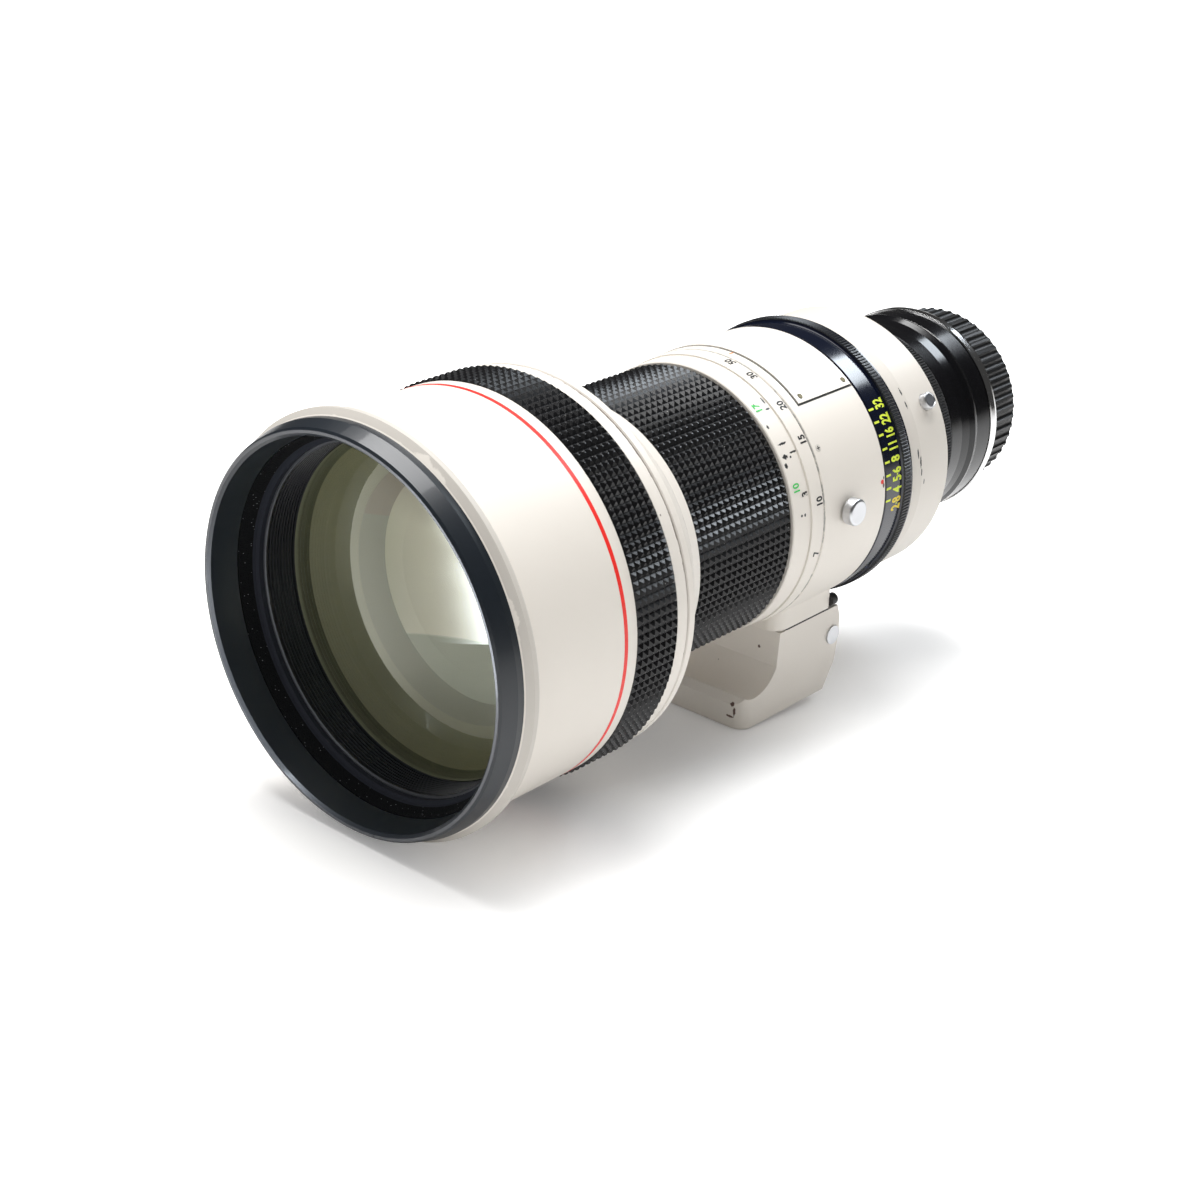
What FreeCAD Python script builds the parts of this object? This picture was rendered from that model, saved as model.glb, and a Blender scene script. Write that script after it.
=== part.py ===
import FreeCAD
import Part
import math
import os

# A 300 mm f/2.8 class manual telephoto lens with its foot, a mount adapter and a rear cap.
# Millimetres. The optical axis is Y: the front glass looks along -Y, and the lens mount
# flange is the plane Y = 0. +Z is up, the tripod foot points down, +X is the photographer's left.

# Driving dimensions: places along the optical axis
Y_LIP = -243.0
Y_RIM_REAR = -235.4
Y_BEAD = -232.8
Y_BARREL = -228.8
Y_GLASS_RING = -226.3
Y_GRIP_FRONT = -189.0
Y_GRIP_REAR = -171.6
Y_HOOD_REAR = -166.9
Y_SHOULDER_EDGE = -163.6
Y_CONE_REAR = -149.4
Y_FOCUS_FRONT = -142.6
Y_SCALE_FRONT = -97.5
Y_SCALE_GROOVE = -89.1
Y_COLLAR_FRONT = -82.6
Y_COLLAR_REAR = -49.8
Y_APERTURE_REAR = -35.6
Y_REAR_RING_REAR = -12.6
Y_FLANGE = 0.0
Y_LOCK_REAR = 5.0
Y_ADAPTER_RIDGE = 18.8
Y_ADAPTER_REAR = 29.0
Y_PLATE_REAR = 33.2
Y_CAP_REAR = 51.6

# Driving radii, and the walls that tie the other radii of the front to the hood
R_HOOD = 60.5
HOOD_WALL = 1.9
FELT_THICK = 1.2
BARREL_WALL = 2.9
R_LIP = R_HOOD - 0.4
R_LIP_INNER = R_LIP - 2.1
R_RIM = R_HOOD + 1.0
R_BEAD = R_HOOD + 3.0
R_GRIP = R_HOOD + 0.9
R_HOOD_BORE = R_HOOD - HOOD_WALL
R_BARREL = R_HOOD_BORE - FELT_THICK
R_BARREL_BORE = R_BARREL - BARREL_WALL
R_GLASS_CLEAR = R_BARREL_BORE - 2.45
GLASS_R = R_GLASS_CLEAR + 1.15

# The main tube, and the walls that tie the rings round it to it
TUBE_R = 40.0
TUBE_WALL = 2.5
SLEEVE_WALL = 3.6
COLLAR_WALL = 6.4
SLEEVE_R = TUBE_R + SLEEVE_WALL
R_CONE_REAR = TUBE_R + 8.2
R_SHOULDER_RING = TUBE_R + 7.8
R_FOCUS_FRONT = SLEEVE_R + 1.6
R_FOCUS_GRIP = SLEEVE_R + 1.4
R_SCALE = SLEEVE_R + 1.8
R_SCALE_REAR = SLEEVE_R + 2.5
R_COLLAR = TUBE_R + COLLAR_WALL
R_APERTURE = R_COLLAR + 0.1
R_APERTURE_LIP = R_COLLAR + 1.0
R_REAR_RING = R_COLLAR - 0.4
R_REAR_RING_FRONT = R_REAR_RING - 1.2

# The lens mount's flange, and the walls of the adapter and cap
MOUNT_FLANGE_R = 32.5
LOCK_WALL = 3.5
R_LOCK_RING = MOUNT_FLANGE_R + LOCK_WALL
R_ADAPTER = R_LOCK_RING + 0.3
R_ADAPTER_WAIST = R_ADAPTER - 1.2
R_ADAPTER_BAND = R_ADAPTER - 0.4
R_CAMERA_PLATE = R_ADAPTER + 0.1
R_CAP = R_CAMERA_PLATE - 4.0

# Walls, seats and clearances
FACE_GAP = 0.3
RUNNING_FIT = 0.08
SEAT = 0.02
RUBBER_SEAT = 0.9
FELT_WIDTH = 5.0
CONE_WALL = 2.4

# Rubber bands: ribs along the lens
RIB_DEPTH = 0.85
RIB_TOP = 0.16
FOCUS_RIBS = 108
HOOD_RIBS = 144

# Foot and collar
FOOT_HALF = 28.0
FOOT_SEAT_Z = -TUBE_R - 4.1
GASKET = 0.6
FOOT_FLOOR_Z = -74.4
FOOT_TOE_Y = -95.2
FOOT_TOE_TOP_Z = -63.5
FOOT_FRONT_Y = -77.2
FOOT_HEEL_Y = -51.0
FOOT_REAR_Y = -42.9
FOOT_REAR_LOW_Y = -45.3
FOOT_CORNER = 5.0
FOOT_REAR_CORNER = 1.2
PEDESTAL_FRONT_Y = -79.6
TRIPOD_Y = -72.0
TRIPOD_THREAD_R = 4.76
TRIPOD_THREAD_DEPTH = 12.0
FOOT_CAP_Y = -47.5
FOOT_CAP_Z = -55.0
FOOT_CAP_R = 3.3
FOOT_CAP_THICK = 0.6

# Name field, studs and index
PLATE_FRONT_Y = -78.0
PLATE_REAR_Y = -50.6
PLATE_ANGLE_MID = 1.0
PLATE_ANGLE_HALF = 39.0
PLATE_THICK = 0.6
PLATE_PROUD = 0.3
PLATE_SLOT = 0.8
STUD_Y = -70.6
STUD_ANGLE = 87.0
STUD_R = 4.4
STUD_NECK_R = 2.8
STUD_HEIGHT = 4.4
STUD_GAP = 0.8

# Optics
FRONT_GLASS_Y = -222.0
FRONT_GLASS_EDGE_Y = -214.4
FRONT_CELL_LENGTH = 35.4
SECOND_GLASS_R = GLASS_R - 3.6

# Focusing
FOCUS_TURN = 110.0
FOCUS_REST = 10.0
FOCUS_TRAVEL = 11.0
FOLLOWER_Y = -122.0
FOLLOWER_R = 1.5
FOLLOWERS = 3
FOCUS_CELL_R = TUBE_R - 2.8
FOCUS_GLASS_R = FOCUS_CELL_R - 4.2
FOCUS_CELL_HALF = 9.0

# Iris
BLADES = 8
IRIS_PIVOT_R = TUBE_R - 9.2
IRIS_DRIVE_R = IRIS_PIVOT_R + 3.6
IRIS_EAR_R = 1.6
IRIS_OPEN_R = IRIS_PIVOT_R - 7.8
IRIS_BAND = 6.2
IRIS_BLADE_THICK = 0.3
IRIS_LEVEL = 0.55
IRIS_SPAN = 82.0
IRIS_PIN_R = 0.8
IRIS_SLOT_EXTRA = 0.06
IRIS_PLATE_Y = -53.2
IRIS_PLATE_THICK = 1.6
IRIS_CAM_THICK = 2.4
IRIS_TURN = 38.1
IRIS_REST = 9.2
IRIS_SWING = 40.0

# Rear drop-in filter holder
FILTER_Y = -27.6
FILTER_THICK = 5.0
FILTER_HALF = TUBE_R - 12.0
FILTER_GLASS_R = FILTER_HALF - 4.0
FILTER_COVER_HALF = 3.6
FILTER_COVER_ANGLE = 41.0

# Release button
BUTTON_Y = -19.9
BUTTON_ANGLE = 58.2
BUTTON_R = 2.8
BUTTON_PROUD = 2.6
BUTTON_STEM_R = 1.5
BUTTON_TRAVEL = 2.0

# Mounts
MOUNT_TUBE_R = MOUNT_FLANGE_R - 5.5
MOUNT_BORE_R = MOUNT_TUBE_R - 3.0
MOUNT_LUGS = 3
MOUNT_LUG_SPAN = 46.0
MOUNT_LUG_HEIGHT = 1.6
MOUNT_TUBE_LENGTH = 5.6
MOUNT_PLATE_THICK = 3.2
MOUNT_SCREW_R = 1.6
MOUNT_SCREW_DEEP = 1.2
CAMERA_TUBE_R = R_CAP - 7.9
CAMERA_BORE_R = CAMERA_TUBE_R - 2.5
CAMERA_TUBE_LENGTH = 4.6
CAP_RIBS = 54
CAP_RIB_DEPTH = 0.9
CAP_RIM = 0.8
CAP_WALL = 2.4

AXIS = FreeCAD.Vector(0, 1, 0)
ORIGIN = FreeCAD.Vector(0, 0, 0)


def vec(x, y, z):
    return FreeCAD.Vector(x, y, z)


def turned(points):
    """Solid of revolution about the optical axis through (y, radius) points."""
    corners = [vec(0, y, r) for y, r in points]
    face = Part.Face(Part.makePolygon(corners + corners[:1]))
    return face.revolve(ORIGIN, AXIS, 360)


def ring(y0, y1, inner, outer):
    """Plain ring between two planes."""
    return turned([(y0, inner), (y0, outer), (y1, outer), (y1, inner)])


def disc(y0, y1, radius):
    """Plain disc on the optical axis."""
    return Part.makeCylinder(radius, y1 - y0, vec(0, y0, 0), AXIS)


def chamfered_ring(y0, y1, inner, outer, cut):
    """Ring whose two outer edges are chamfered."""
    return turned([(y0, inner), (y0, outer - cut), (y0 + cut, outer),
                   (y1 - cut, outer), (y1, outer - cut), (y1, inner)])


def ribbed_band(y0, y1, seat, outer, ribs):
    """Ring whose outside is cut into flat-topped ribs that run along the axis."""
    pitch = 360.0 / ribs
    slope = (1 - RIB_TOP) / 2
    corners = []
    for k in range(ribs):
        for share, radius in ((0, outer - RIB_DEPTH), (slope, outer), (slope + RIB_TOP, outer)):
            corners.append(radial((k + share) * pitch) * radius + vec(0, y0, 0))
    band = Part.Face(Part.makePolygon(corners + corners[:1])).extrude(vec(0, y1 - y0, 0))
    return band.cut(disc(y0 - 1, y1 + 1, seat))


def radial(angle):
    """Unit vector across the axis, angle in degrees from the top towards +X."""
    a = math.radians(angle)
    return vec(math.sin(a), 0, math.cos(a))


def radial_pin(y, angle, inner, outer, radius):
    """Cylinder that points away from the optical axis."""
    way = radial(angle)
    return Part.makeCylinder(radius, outer - inner, vec(0, y, 0) + way * inner, way)


def turn(shape, angle):
    """Copy of a shape turned about the optical axis, positive from the top towards +X."""
    copy = shape.copy()
    copy.rotate(ORIGIN, AXIS, angle)
    return copy


def sector(y0, y1, inner, outer, start, span):
    """Part of a ring between two angles, measured from the top towards +X."""
    first = vec(0, y0, inner)
    face = Part.Face(Part.makePolygon([first, vec(0, y0, outer), vec(0, y1, outer),
                                       vec(0, y1, inner), first]))
    return turn(face.revolve(ORIGIN, AXIS, span), start)


def box(x0, x1, y0, y1, z0, z1):
    """Box between two corners."""
    return Part.makeBox(x1 - x0, y1 - y0, z1 - z0, vec(x0, y0, z0))


def rounded_block(y0, y1, z0, z1):
    """Block as wide as the foot, with large upright corners in front and small ones behind."""
    block = box(-FOOT_HALF, FOOT_HALF, y0, y1, z0, z1)
    upright = [e for e in block.Edges if abs(e.tangentAt(e.FirstParameter).z) > 0.99]
    middle = (y0 + y1) / 2
    block = block.makeFillet(FOOT_CORNER, [e for e in upright if e.Vertexes[0].Y < middle])
    upright = [e for e in block.Edges if abs(e.tangentAt(e.FirstParameter).z) > 0.99]
    rear = [e for e in upright if abs(e.Vertexes[0].Y - y1) < SEAT]
    return block.makeFillet(FOOT_REAR_CORNER, rear)


def sag(curve, radius):
    """Depth of a spherical surface at a given radius, signed like its curve."""
    depth = abs(curve) - math.sqrt(curve * curve - radius * radius)
    return math.copysign(depth, curve)


def lens(front, back, front_curve, back_curve, radius):
    """Glass element; a positive curve bulges towards the front."""
    def surface(vertex, curve):
        middle = radius * 0.5
        return [vec(0, vertex, 0), vec(0, vertex + sag(curve, middle), middle),
                vec(0, vertex + sag(curve, radius), radius)]
    a = surface(front, front_curve)
    b = surface(back, back_curve)
    edges = [Part.Arc(a[0], a[1], a[2]).toShape(),
             Part.LineSegment(a[2], b[2]).toShape(),
             Part.Arc(b[2], b[1], b[0]).toShape(),
             Part.LineSegment(b[0], a[0]).toShape()]
    return Part.Face(Part.Wire(edges)).revolve(ORIGIN, AXIS, 360)


PARTS = {}


def keep(name, shape):
    """Store one node."""
    PARTS[name] = shape


# Sliding hood
def make_hood():
    rim = turned([(Y_LIP + 0.9, R_LIP_INNER - 0.3), (Y_LIP, R_LIP_INNER + 0.6),
                  (Y_LIP, R_LIP - 0.7), (Y_LIP + 0.7, R_LIP), (Y_RIM_REAR - 2.2, R_RIM),
                  (Y_RIM_REAR, R_RIM), (Y_RIM_REAR, R_HOOD_BORE + 0.6),
                  (Y_BEAD - 0.4, R_HOOD_BORE), (Y_BEAD - 0.4, R_GLASS_CLEAR + 4.4)])
    keep("front_rim", rim)
    seat = R_GRIP - RUBBER_SEAT * 2
    tube = turned([(Y_RIM_REAR, R_HOOD_BORE + 0.6), (Y_RIM_REAR, R_RIM), (Y_BEAD - 0.5, R_BEAD),
                   (Y_BEAD + 1.0, R_BEAD), (Y_BEAD + 1.8, R_BEAD - 0.6),
                   (Y_BEAD + 2.6, R_HOOD + 0.6), (Y_BEAD + 3.8, R_HOOD),
                   (Y_GRIP_FRONT, R_HOOD), (Y_GRIP_FRONT, seat), (Y_GRIP_REAR, seat),
                   (Y_GRIP_REAR, R_HOOD), (Y_HOOD_REAR - 0.4, R_HOOD),
                   (Y_HOOD_REAR, R_HOOD - 0.4), (Y_HOOD_REAR, R_HOOD_BORE),
                   (Y_BEAD - 0.4, R_HOOD_BORE)])
    keep("hood_tube", tube)
    keep("hood_grip_rubber", ribbed_band(Y_GRIP_FRONT, Y_GRIP_REAR, seat, R_GRIP, HOOD_RIBS))
    felt_bore = R_BARREL + RUNNING_FIT
    front = ring(Y_BARREL + 0.4, Y_BARREL + 0.4 + FELT_WIDTH, felt_bore, R_HOOD_BORE)
    rear = ring(Y_HOOD_REAR - 2.0 - FELT_WIDTH, Y_HOOD_REAR - 2.0, felt_bore, R_HOOD_BORE)
    keep("hood_felt_rings", Part.makeCompound([front, rear]))


# Fixed front barrel and front glass
def make_front():
    keep("inner_barrel", ring(Y_BARREL, Y_SHOULDER_EDGE + 0.3, R_BARREL_BORE, R_BARREL))
    keep("flocked_ring", turned([(Y_BARREL - 4.0, R_BARREL_BORE + 1.6), (Y_BARREL - 4.0, R_BARREL - 0.4),
                                 (Y_BARREL, R_BARREL - 0.4), (Y_BARREL, R_BARREL_BORE),
                                 (Y_GLASS_RING, R_BARREL_BORE), (Y_GLASS_RING, R_GLASS_CLEAR + 0.9),
                                 (Y_BARREL + 0.9, R_GLASS_CLEAR + 0.9),
                                 (Y_BARREL + 0.4, R_BARREL_BORE - 0.5)]))
    keep("front_retaining_ring",
         turned([(Y_GLASS_RING, R_GLASS_CLEAR + 0.5), (Y_GLASS_RING, R_BARREL_BORE),
                 (FRONT_GLASS_EDGE_Y - 0.4, R_BARREL_BORE), (FRONT_GLASS_EDGE_Y - 0.4, R_GLASS_CLEAR),
                 (Y_GLASS_RING + 0.5, R_GLASS_CLEAR)]))
    edge = FRONT_GLASS_EDGE_Y
    front_curve = (GLASS_R ** 2 + (edge - FRONT_GLASS_Y) ** 2) / (2 * (edge - FRONT_GLASS_Y))
    keep("front_element", lens(FRONT_GLASS_Y, edge + 5.2, front_curve, 900.0, GLASS_R))
    cell_front = edge + 0.6
    cell_rear = cell_front + FRONT_CELL_LENGTH
    second_front = edge + 8.4
    second_r = SECOND_GLASS_R
    keep("second_element", lens(second_front, second_front + 13.0, 200.0, -280.0, second_r))
    third_back = second_front + 17.2
    keep("third_element", lens(second_front + 13.1, third_back, -280.0, 260.0, second_r))
    third_edge = third_back + sag(260.0, second_r)
    keep("front_cell", turned([(cell_front, GLASS_R), (cell_front, R_BARREL_BORE),
                               (cell_rear, R_BARREL_BORE), (cell_rear, second_r - 3.0),
                               (cell_rear - 2.0, second_r - 3.0), (third_edge + 2.0, second_r),
                               (second_front - 1.0, second_r), (second_front - 1.0, GLASS_R)]))
    keep("cell_retaining_ring", ring(third_edge + 0.2, third_edge + 1.9,
                                     second_r - 2.4, second_r - SEAT))
    wall = CONE_WALL
    slope_r = R_HOOD - HOOD_WALL
    keep("shoulder_housing",
         turned([(Y_HOOD_REAR + FACE_GAP, R_BARREL), (Y_HOOD_REAR + FACE_GAP, R_HOOD - 0.4),
                 (Y_HOOD_REAR + FACE_GAP + 0.4, R_HOOD), (Y_SHOULDER_EDGE - 0.4, R_HOOD),
                 (Y_SHOULDER_EDGE, R_HOOD - 0.4), (Y_SHOULDER_EDGE, slope_r),
                 (Y_CONE_REAR, R_CONE_REAR), (Y_CONE_REAR, TUBE_R),
                 (Y_CONE_REAR - wall, TUBE_R), (Y_CONE_REAR - wall, R_CONE_REAR - wall / 2),
                 (Y_SHOULDER_EDGE + 0.6, slope_r - 3.4), (Y_SHOULDER_EDGE + 0.6, R_BARREL)]))
    keep("shoulder_ring",
         turned([(Y_CONE_REAR + 0.1, TUBE_R), (Y_CONE_REAR + 0.1, R_SHOULDER_RING - 0.3),
                 (Y_CONE_REAR + 0.4, R_SHOULDER_RING), (Y_FOCUS_FRONT - FACE_GAP, R_FOCUS_FRONT),
                 (Y_FOCUS_FRONT - FACE_GAP, TUBE_R)]))
    baffle_front = cell_rear + 0.2
    keep("light_baffle",
         turned([(baffle_front, R_BARREL_BORE - 1.5), (baffle_front, R_BARREL_BORE),
                 (baffle_front + 3.0, R_BARREL_BORE), (Y_CONE_REAR - 4.0, TUBE_R - TUBE_WALL),
                 (Y_CONE_REAR - 4.0, TUBE_R - TUBE_WALL - 1.5),
                 (baffle_front + 3.0, R_BARREL_BORE - 1.5)]))


# Main tube with the follower slots and the iris window
def make_main_tube():
    bore = TUBE_R - TUBE_WALL
    tube = ring(Y_CONE_REAR - 3.9, Y_APERTURE_REAR, bore, TUBE_R)
    cutters = []
    half = FOLLOWER_R + 0.1
    front = FOLLOWER_Y - FOCUS_TRAVEL * FOCUS_REST / FOCUS_TURN
    rear = front + FOCUS_TRAVEL
    for k in range(FOLLOWERS):
        angle = 360.0 / FOLLOWERS * k + 60
        slot = box(-half, half, front - half - 0.2, rear + half + 0.2, bore - 1, TUBE_R + 1)
        cutters.append(turn(slot, angle))
    cam_front = iris_cam_front()
    window = sector(cam_front - 0.3, cam_front + IRIS_CAM_THICK + 0.3, bore - 1, TUBE_R + 1,
                    fork_angle() - IRIS_TURN - 6, 2 * IRIS_TURN + 12)
    cutters.append(window)
    keep("main_tube", tube.cut(cutters))


# Focus ring: sleeve with helical grooves, rubber and distance scale
def helical_groove(angle):
    """Cutter for one groove that a follower pin runs in."""
    floor = TUBE_R + FACE_GAP + 2.0
    half = FOLLOWER_R + 0.1
    lead = FOCUS_TRAVEL / FOCUS_TURN * 360.0
    extra = 4.0
    sweep = FOCUS_TURN + 2 * extra
    start_turn = -FOCUS_REST - extra
    middle = TUBE_R + FACE_GAP
    steps = 16
    stations = []
    for i in range(steps + 1):
        a = start_turn + sweep * i / steps
        y = FOLLOWER_Y + lead * a / 360.0
        way = radial(angle + a)
        inner = middle - 1.5
        corners = [way * inner + vec(0, y - half, 0), way * floor + vec(0, y - half, 0),
                   way * floor + vec(0, y + half, 0), way * inner + vec(0, y + half, 0)]
        stations.append(Part.makePolygon(corners + corners[:1]))
    return Part.makeLoft(stations, True, False)


def make_focus_ring():
    inner = TUBE_R + FACE_GAP
    rear = Y_COLLAR_FRONT - FACE_GAP
    sleeve = ring(Y_FOCUS_FRONT, rear, inner, SLEEVE_R)
    grooves = []
    for k in range(FOLLOWERS):
        grooves.append(helical_groove(360.0 / FOLLOWERS * k + 60))
    keep("focus_sleeve", sleeve.cut(grooves))
    keep("focus_rubber", ribbed_band(Y_FOCUS_FRONT, Y_SCALE_FRONT, SLEEVE_R, R_FOCUS_GRIP, FOCUS_RIBS))
    deep = 0.5
    keep("distance_ring",
         turned([(Y_SCALE_FRONT, SLEEVE_R), (Y_SCALE_FRONT, R_SCALE - 0.3),
                 (Y_SCALE_FRONT + 0.3, R_SCALE), (Y_SCALE_GROOVE - 0.2, R_SCALE + 0.25),
                 (Y_SCALE_GROOVE, R_SCALE + 0.25 - deep), (Y_SCALE_GROOVE + 0.2, R_SCALE_REAR),
                 (rear - 0.3, R_SCALE_REAR + 0.1), (rear, R_SCALE_REAR - 0.2), (rear, SLEEVE_R)]))


# Focusing cell and its glass, carried by three follower pins
def make_focus_group():
    front = FOLLOWER_Y - FOCUS_CELL_HALF
    rear = FOLLOWER_Y + FOCUS_CELL_HALF
    cell = turned([(front, FOCUS_GLASS_R - 2.0), (front, FOCUS_CELL_R), (rear, FOCUS_CELL_R),
                   (rear, FOCUS_GLASS_R), (front + 1.6, FOCUS_GLASS_R),
                   (front + 1.6, FOCUS_GLASS_R - 2.0)])
    keep("focus_cell", cell)
    keep("focus_element_front", lens(front + 4.6, front + 7.4, -300.0, 130.0, FOCUS_GLASS_R))
    back = front + 11.6
    keep("focus_element_rear", lens(front + 7.5, back, 130.0, 420.0, FOCUS_GLASS_R))
    glass_edge = back + sag(420.0, FOCUS_GLASS_R)
    keep("focus_cell_ring", ring(glass_edge + 0.3, glass_edge + 2.1, FOCUS_GLASS_R - 2.2,
                                 FOCUS_GLASS_R - SEAT))
    pins = []
    for k in range(FOLLOWERS):
        angle = 360.0 / FOLLOWERS * k + 60
        pins.append(radial_pin(FOLLOWER_Y, angle, FOCUS_CELL_R - 2.2,
                               TUBE_R + FACE_GAP + 1.7, FOLLOWER_R))
    keep("follower_pins", Part.makeCompound(pins))
    keep("focus_cell", PARTS["focus_cell"].cut(pins))


# Collar with the foot pedestal, name field and studs
def plate_solid(inner, outer, grow):
    """Curved rectangle on top of the collar."""
    half = PLATE_ANGLE_HALF + math.degrees(grow / R_COLLAR)
    return sector(PLATE_FRONT_Y - grow, PLATE_REAR_Y + grow * 0.5, inner, outer,
                  PLATE_ANGLE_MID - half, 2 * half)


def stud_neck(angle):
    return radial_pin(STUD_Y, angle, R_COLLAR - 3.0, R_COLLAR + STUD_GAP + 0.2, STUD_NECK_R)


def make_collar():
    bore = TUBE_R + SEAT
    body = chamfered_ring(Y_COLLAR_FRONT, Y_COLLAR_REAR, bore, R_COLLAR, 0.4)
    block = rounded_block(PEDESTAL_FRONT_Y, Y_COLLAR_REAR, FOOT_SEAT_Z, -TUBE_R / 2)
    body = body.fuse(block).cut(disc(Y_COLLAR_FRONT - 1, Y_COLLAR_REAR + 1, bore))
    below = box(-R_COLLAR, R_COLLAR, Y_COLLAR_FRONT - 1, Y_COLLAR_REAR + 1,
                -2 * R_COLLAR, FOOT_SEAT_Z)
    body = body.cut(below)
    floor = R_COLLAR - PLATE_THICK + PLATE_PROUD
    body = body.cut(plate_solid(floor, R_COLLAR + 2, PLATE_SLOT))
    necks = [stud_neck(side * STUD_ANGLE) for side in (-1, 1)]
    body = body.cut(necks)
    keep("collar", body)
    keep("nameplate", plate_solid(floor, floor + PLATE_THICK, 0).cut(plate_screws(floor, 0.1)))
    keep("nameplate_screws", Part.makeCompound(plate_screws(floor, 0)))
    studs = []
    for side in (-1, 1):
        angle = side * STUD_ANGLE
        head = radial_pin(STUD_Y, angle, R_COLLAR + STUD_GAP, R_COLLAR + STUD_HEIGHT, STUD_R)
        studs.append(stud_neck(angle).fuse(head))
    keep("strap_studs", Part.makeCompound(studs))


def plate_screws(floor, clear):
    """Four small screws in the corners of the name field."""
    screws = []
    for y in (PLATE_FRONT_Y + 2.6, PLATE_REAR_Y - 2.0):
        for side in (-1, 1):
            angle = PLATE_ANGLE_MID + side * (PLATE_ANGLE_HALF - 2.6)
            screws.append(radial_pin(y, angle, floor + 0.02, floor + PLATE_THICK + 0.15,
                                     0.9 + clear))
    return screws


# Foot casting
def foot_profile():
    """Closed side outline of the boot-shaped casting, as y and z with one arc at the instep."""
    top = FOOT_SEAT_Z - GASKET
    instep = [vec(0, FOOT_FRONT_Y - 1.0, top - 12.0),
              vec(0, FOOT_FRONT_Y - 4.6, top - 16.6),
              vec(0, FOOT_TOE_Y + 2.0, FOOT_TOE_TOP_Z)]
    points = [vec(0, FOOT_FRONT_Y, top), instep[0]]
    rest = [instep[2], vec(0, FOOT_TOE_Y, FOOT_TOE_TOP_Z - 2.4),
            vec(0, FOOT_TOE_Y, FOOT_FLOOR_Z), vec(0, FOOT_HEEL_Y, FOOT_FLOOR_Z),
            vec(0, FOOT_REAR_LOW_Y, FOOT_FLOOR_Z + 9.0), vec(0, FOOT_REAR_Y, top - 7.0),
            vec(0, FOOT_REAR_LOW_Y, top), points[0]]
    edges = [Part.LineSegment(points[0], points[1]).toShape(),
             Part.Arc(instep[0], instep[1], instep[2]).toShape()]
    for a, b in zip(rest, rest[1:]):
        edges.append(Part.LineSegment(a, b).toShape())
    return Part.Face(Part.Wire(edges))


def make_foot():
    top = FOOT_SEAT_Z - GASKET
    body = foot_profile().extrude(vec(2 * FOOT_HALF, 0, 0))
    body.translate(vec(-FOOT_HALF, 0, 0))
    cutter = box(-FOOT_HALF - 1, FOOT_HALF + 1, FOOT_TOE_Y - 1, FOOT_REAR_Y + 1,
                 FOOT_FLOOR_Z - 1, top + 1)
    rounded = rounded_block(FOOT_TOE_Y, FOOT_REAR_Y, FOOT_FLOOR_Z - 1, top + 1)
    body = body.cut(cutter.cut(rounded))
    body = body.cut(disc(Y_COLLAR_REAR - 0.5, FOOT_REAR_Y + 1, R_APERTURE_LIP + 0.8))
    insert = Part.makeCylinder(TRIPOD_THREAD_R + 2.0, TRIPOD_THREAD_DEPTH + 1.0,
                               vec(0, TRIPOD_Y, FOOT_FLOOR_Z - 0.5), vec(0, 0, 1))
    body = body.cut(insert)
    discs = []
    seats = []
    for side in (-1, 1):
        at = vec(side * (FOOT_HALF - 1.0), FOOT_CAP_Y, FOOT_CAP_Z)
        way = vec(side, 0, 0)
        discs.append(Part.makeCylinder(FOOT_CAP_R, 1.0 + FOOT_CAP_THICK, at, way))
        seats.append(Part.makeCylinder(FOOT_CAP_R + 0.05, 2.0, at, way))
    keep("foot", body.cut(seats))
    keep("foot_side_caps", Part.makeCompound(discs))
    bush = Part.makeCylinder(TRIPOD_THREAD_R + 2.0, TRIPOD_THREAD_DEPTH + 0.5,
                             vec(0, TRIPOD_Y, FOOT_FLOOR_Z), vec(0, 0, 1))
    hole = Part.makeCylinder(TRIPOD_THREAD_R, TRIPOD_THREAD_DEPTH + 1.0,
                             vec(0, TRIPOD_Y, FOOT_FLOOR_Z - 1.0), vec(0, 0, 1))
    keep("tripod_thread_bush", bush.cut(hole))
    keep("foot_gasket", rounded_block(FOOT_FRONT_Y, Y_COLLAR_REAR, top, FOOT_SEAT_Z))


# Iris
def iris_cam_front():
    return IRIS_PLATE_Y + IRIS_PLATE_THICK + 0.3 + BLADES * IRIS_LEVEL + 0.2


def fork_angle():
    return 0.0


def iris_point(radius, angle, y):
    return radial(angle) * radius + vec(0, y, 0)


def iris_blade(k):
    """Crescent blade on its own level, with a pivot pin forwards and a drive pin backwards."""
    y0 = IRIS_PLATE_Y + IRIS_PLATE_THICK + 0.3 + k * IRIS_LEVEL
    y1 = y0 + IRIS_BLADE_THICK
    band = sector(y0, y1, IRIS_OPEN_R, IRIS_OPEN_R + IRIS_BAND, -4.0, IRIS_SPAN + 4.0)
    tip = Part.makeCylinder(IRIS_BAND / 2, IRIS_BLADE_THICK,
                            iris_point(IRIS_OPEN_R + IRIS_BAND / 2, IRIS_SPAN, y0), AXIS)
    ear = box(-IRIS_EAR_R, IRIS_EAR_R, y0, y1, IRIS_OPEN_R + IRIS_BAND - 2.0, IRIS_DRIVE_R)
    boss = Part.makeCylinder(IRIS_EAR_R, IRIS_BLADE_THICK, iris_point(IRIS_DRIVE_R, 0, y0), AXIS)
    pivot = Part.makeCylinder(IRIS_PIN_R, y0 - IRIS_PLATE_Y - 0.2,
                              iris_point(IRIS_PIVOT_R, 0, IRIS_PLATE_Y + 0.2), AXIS)
    top = iris_cam_front() + IRIS_CAM_THICK - 0.3
    drive = Part.makeCylinder(IRIS_PIN_R, top - y1, iris_point(IRIS_DRIVE_R, 0, y1), AXIS)
    blade = band.fuse([tip, ear, boss, pivot, drive]).removeSplitter()
    angle_now = IRIS_SWING * IRIS_REST / IRIS_TURN
    blade.rotate(iris_point(IRIS_PIVOT_R, 0, 0), AXIS, angle_now)
    return turn(blade, 360.0 / BLADES * k)


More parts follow.
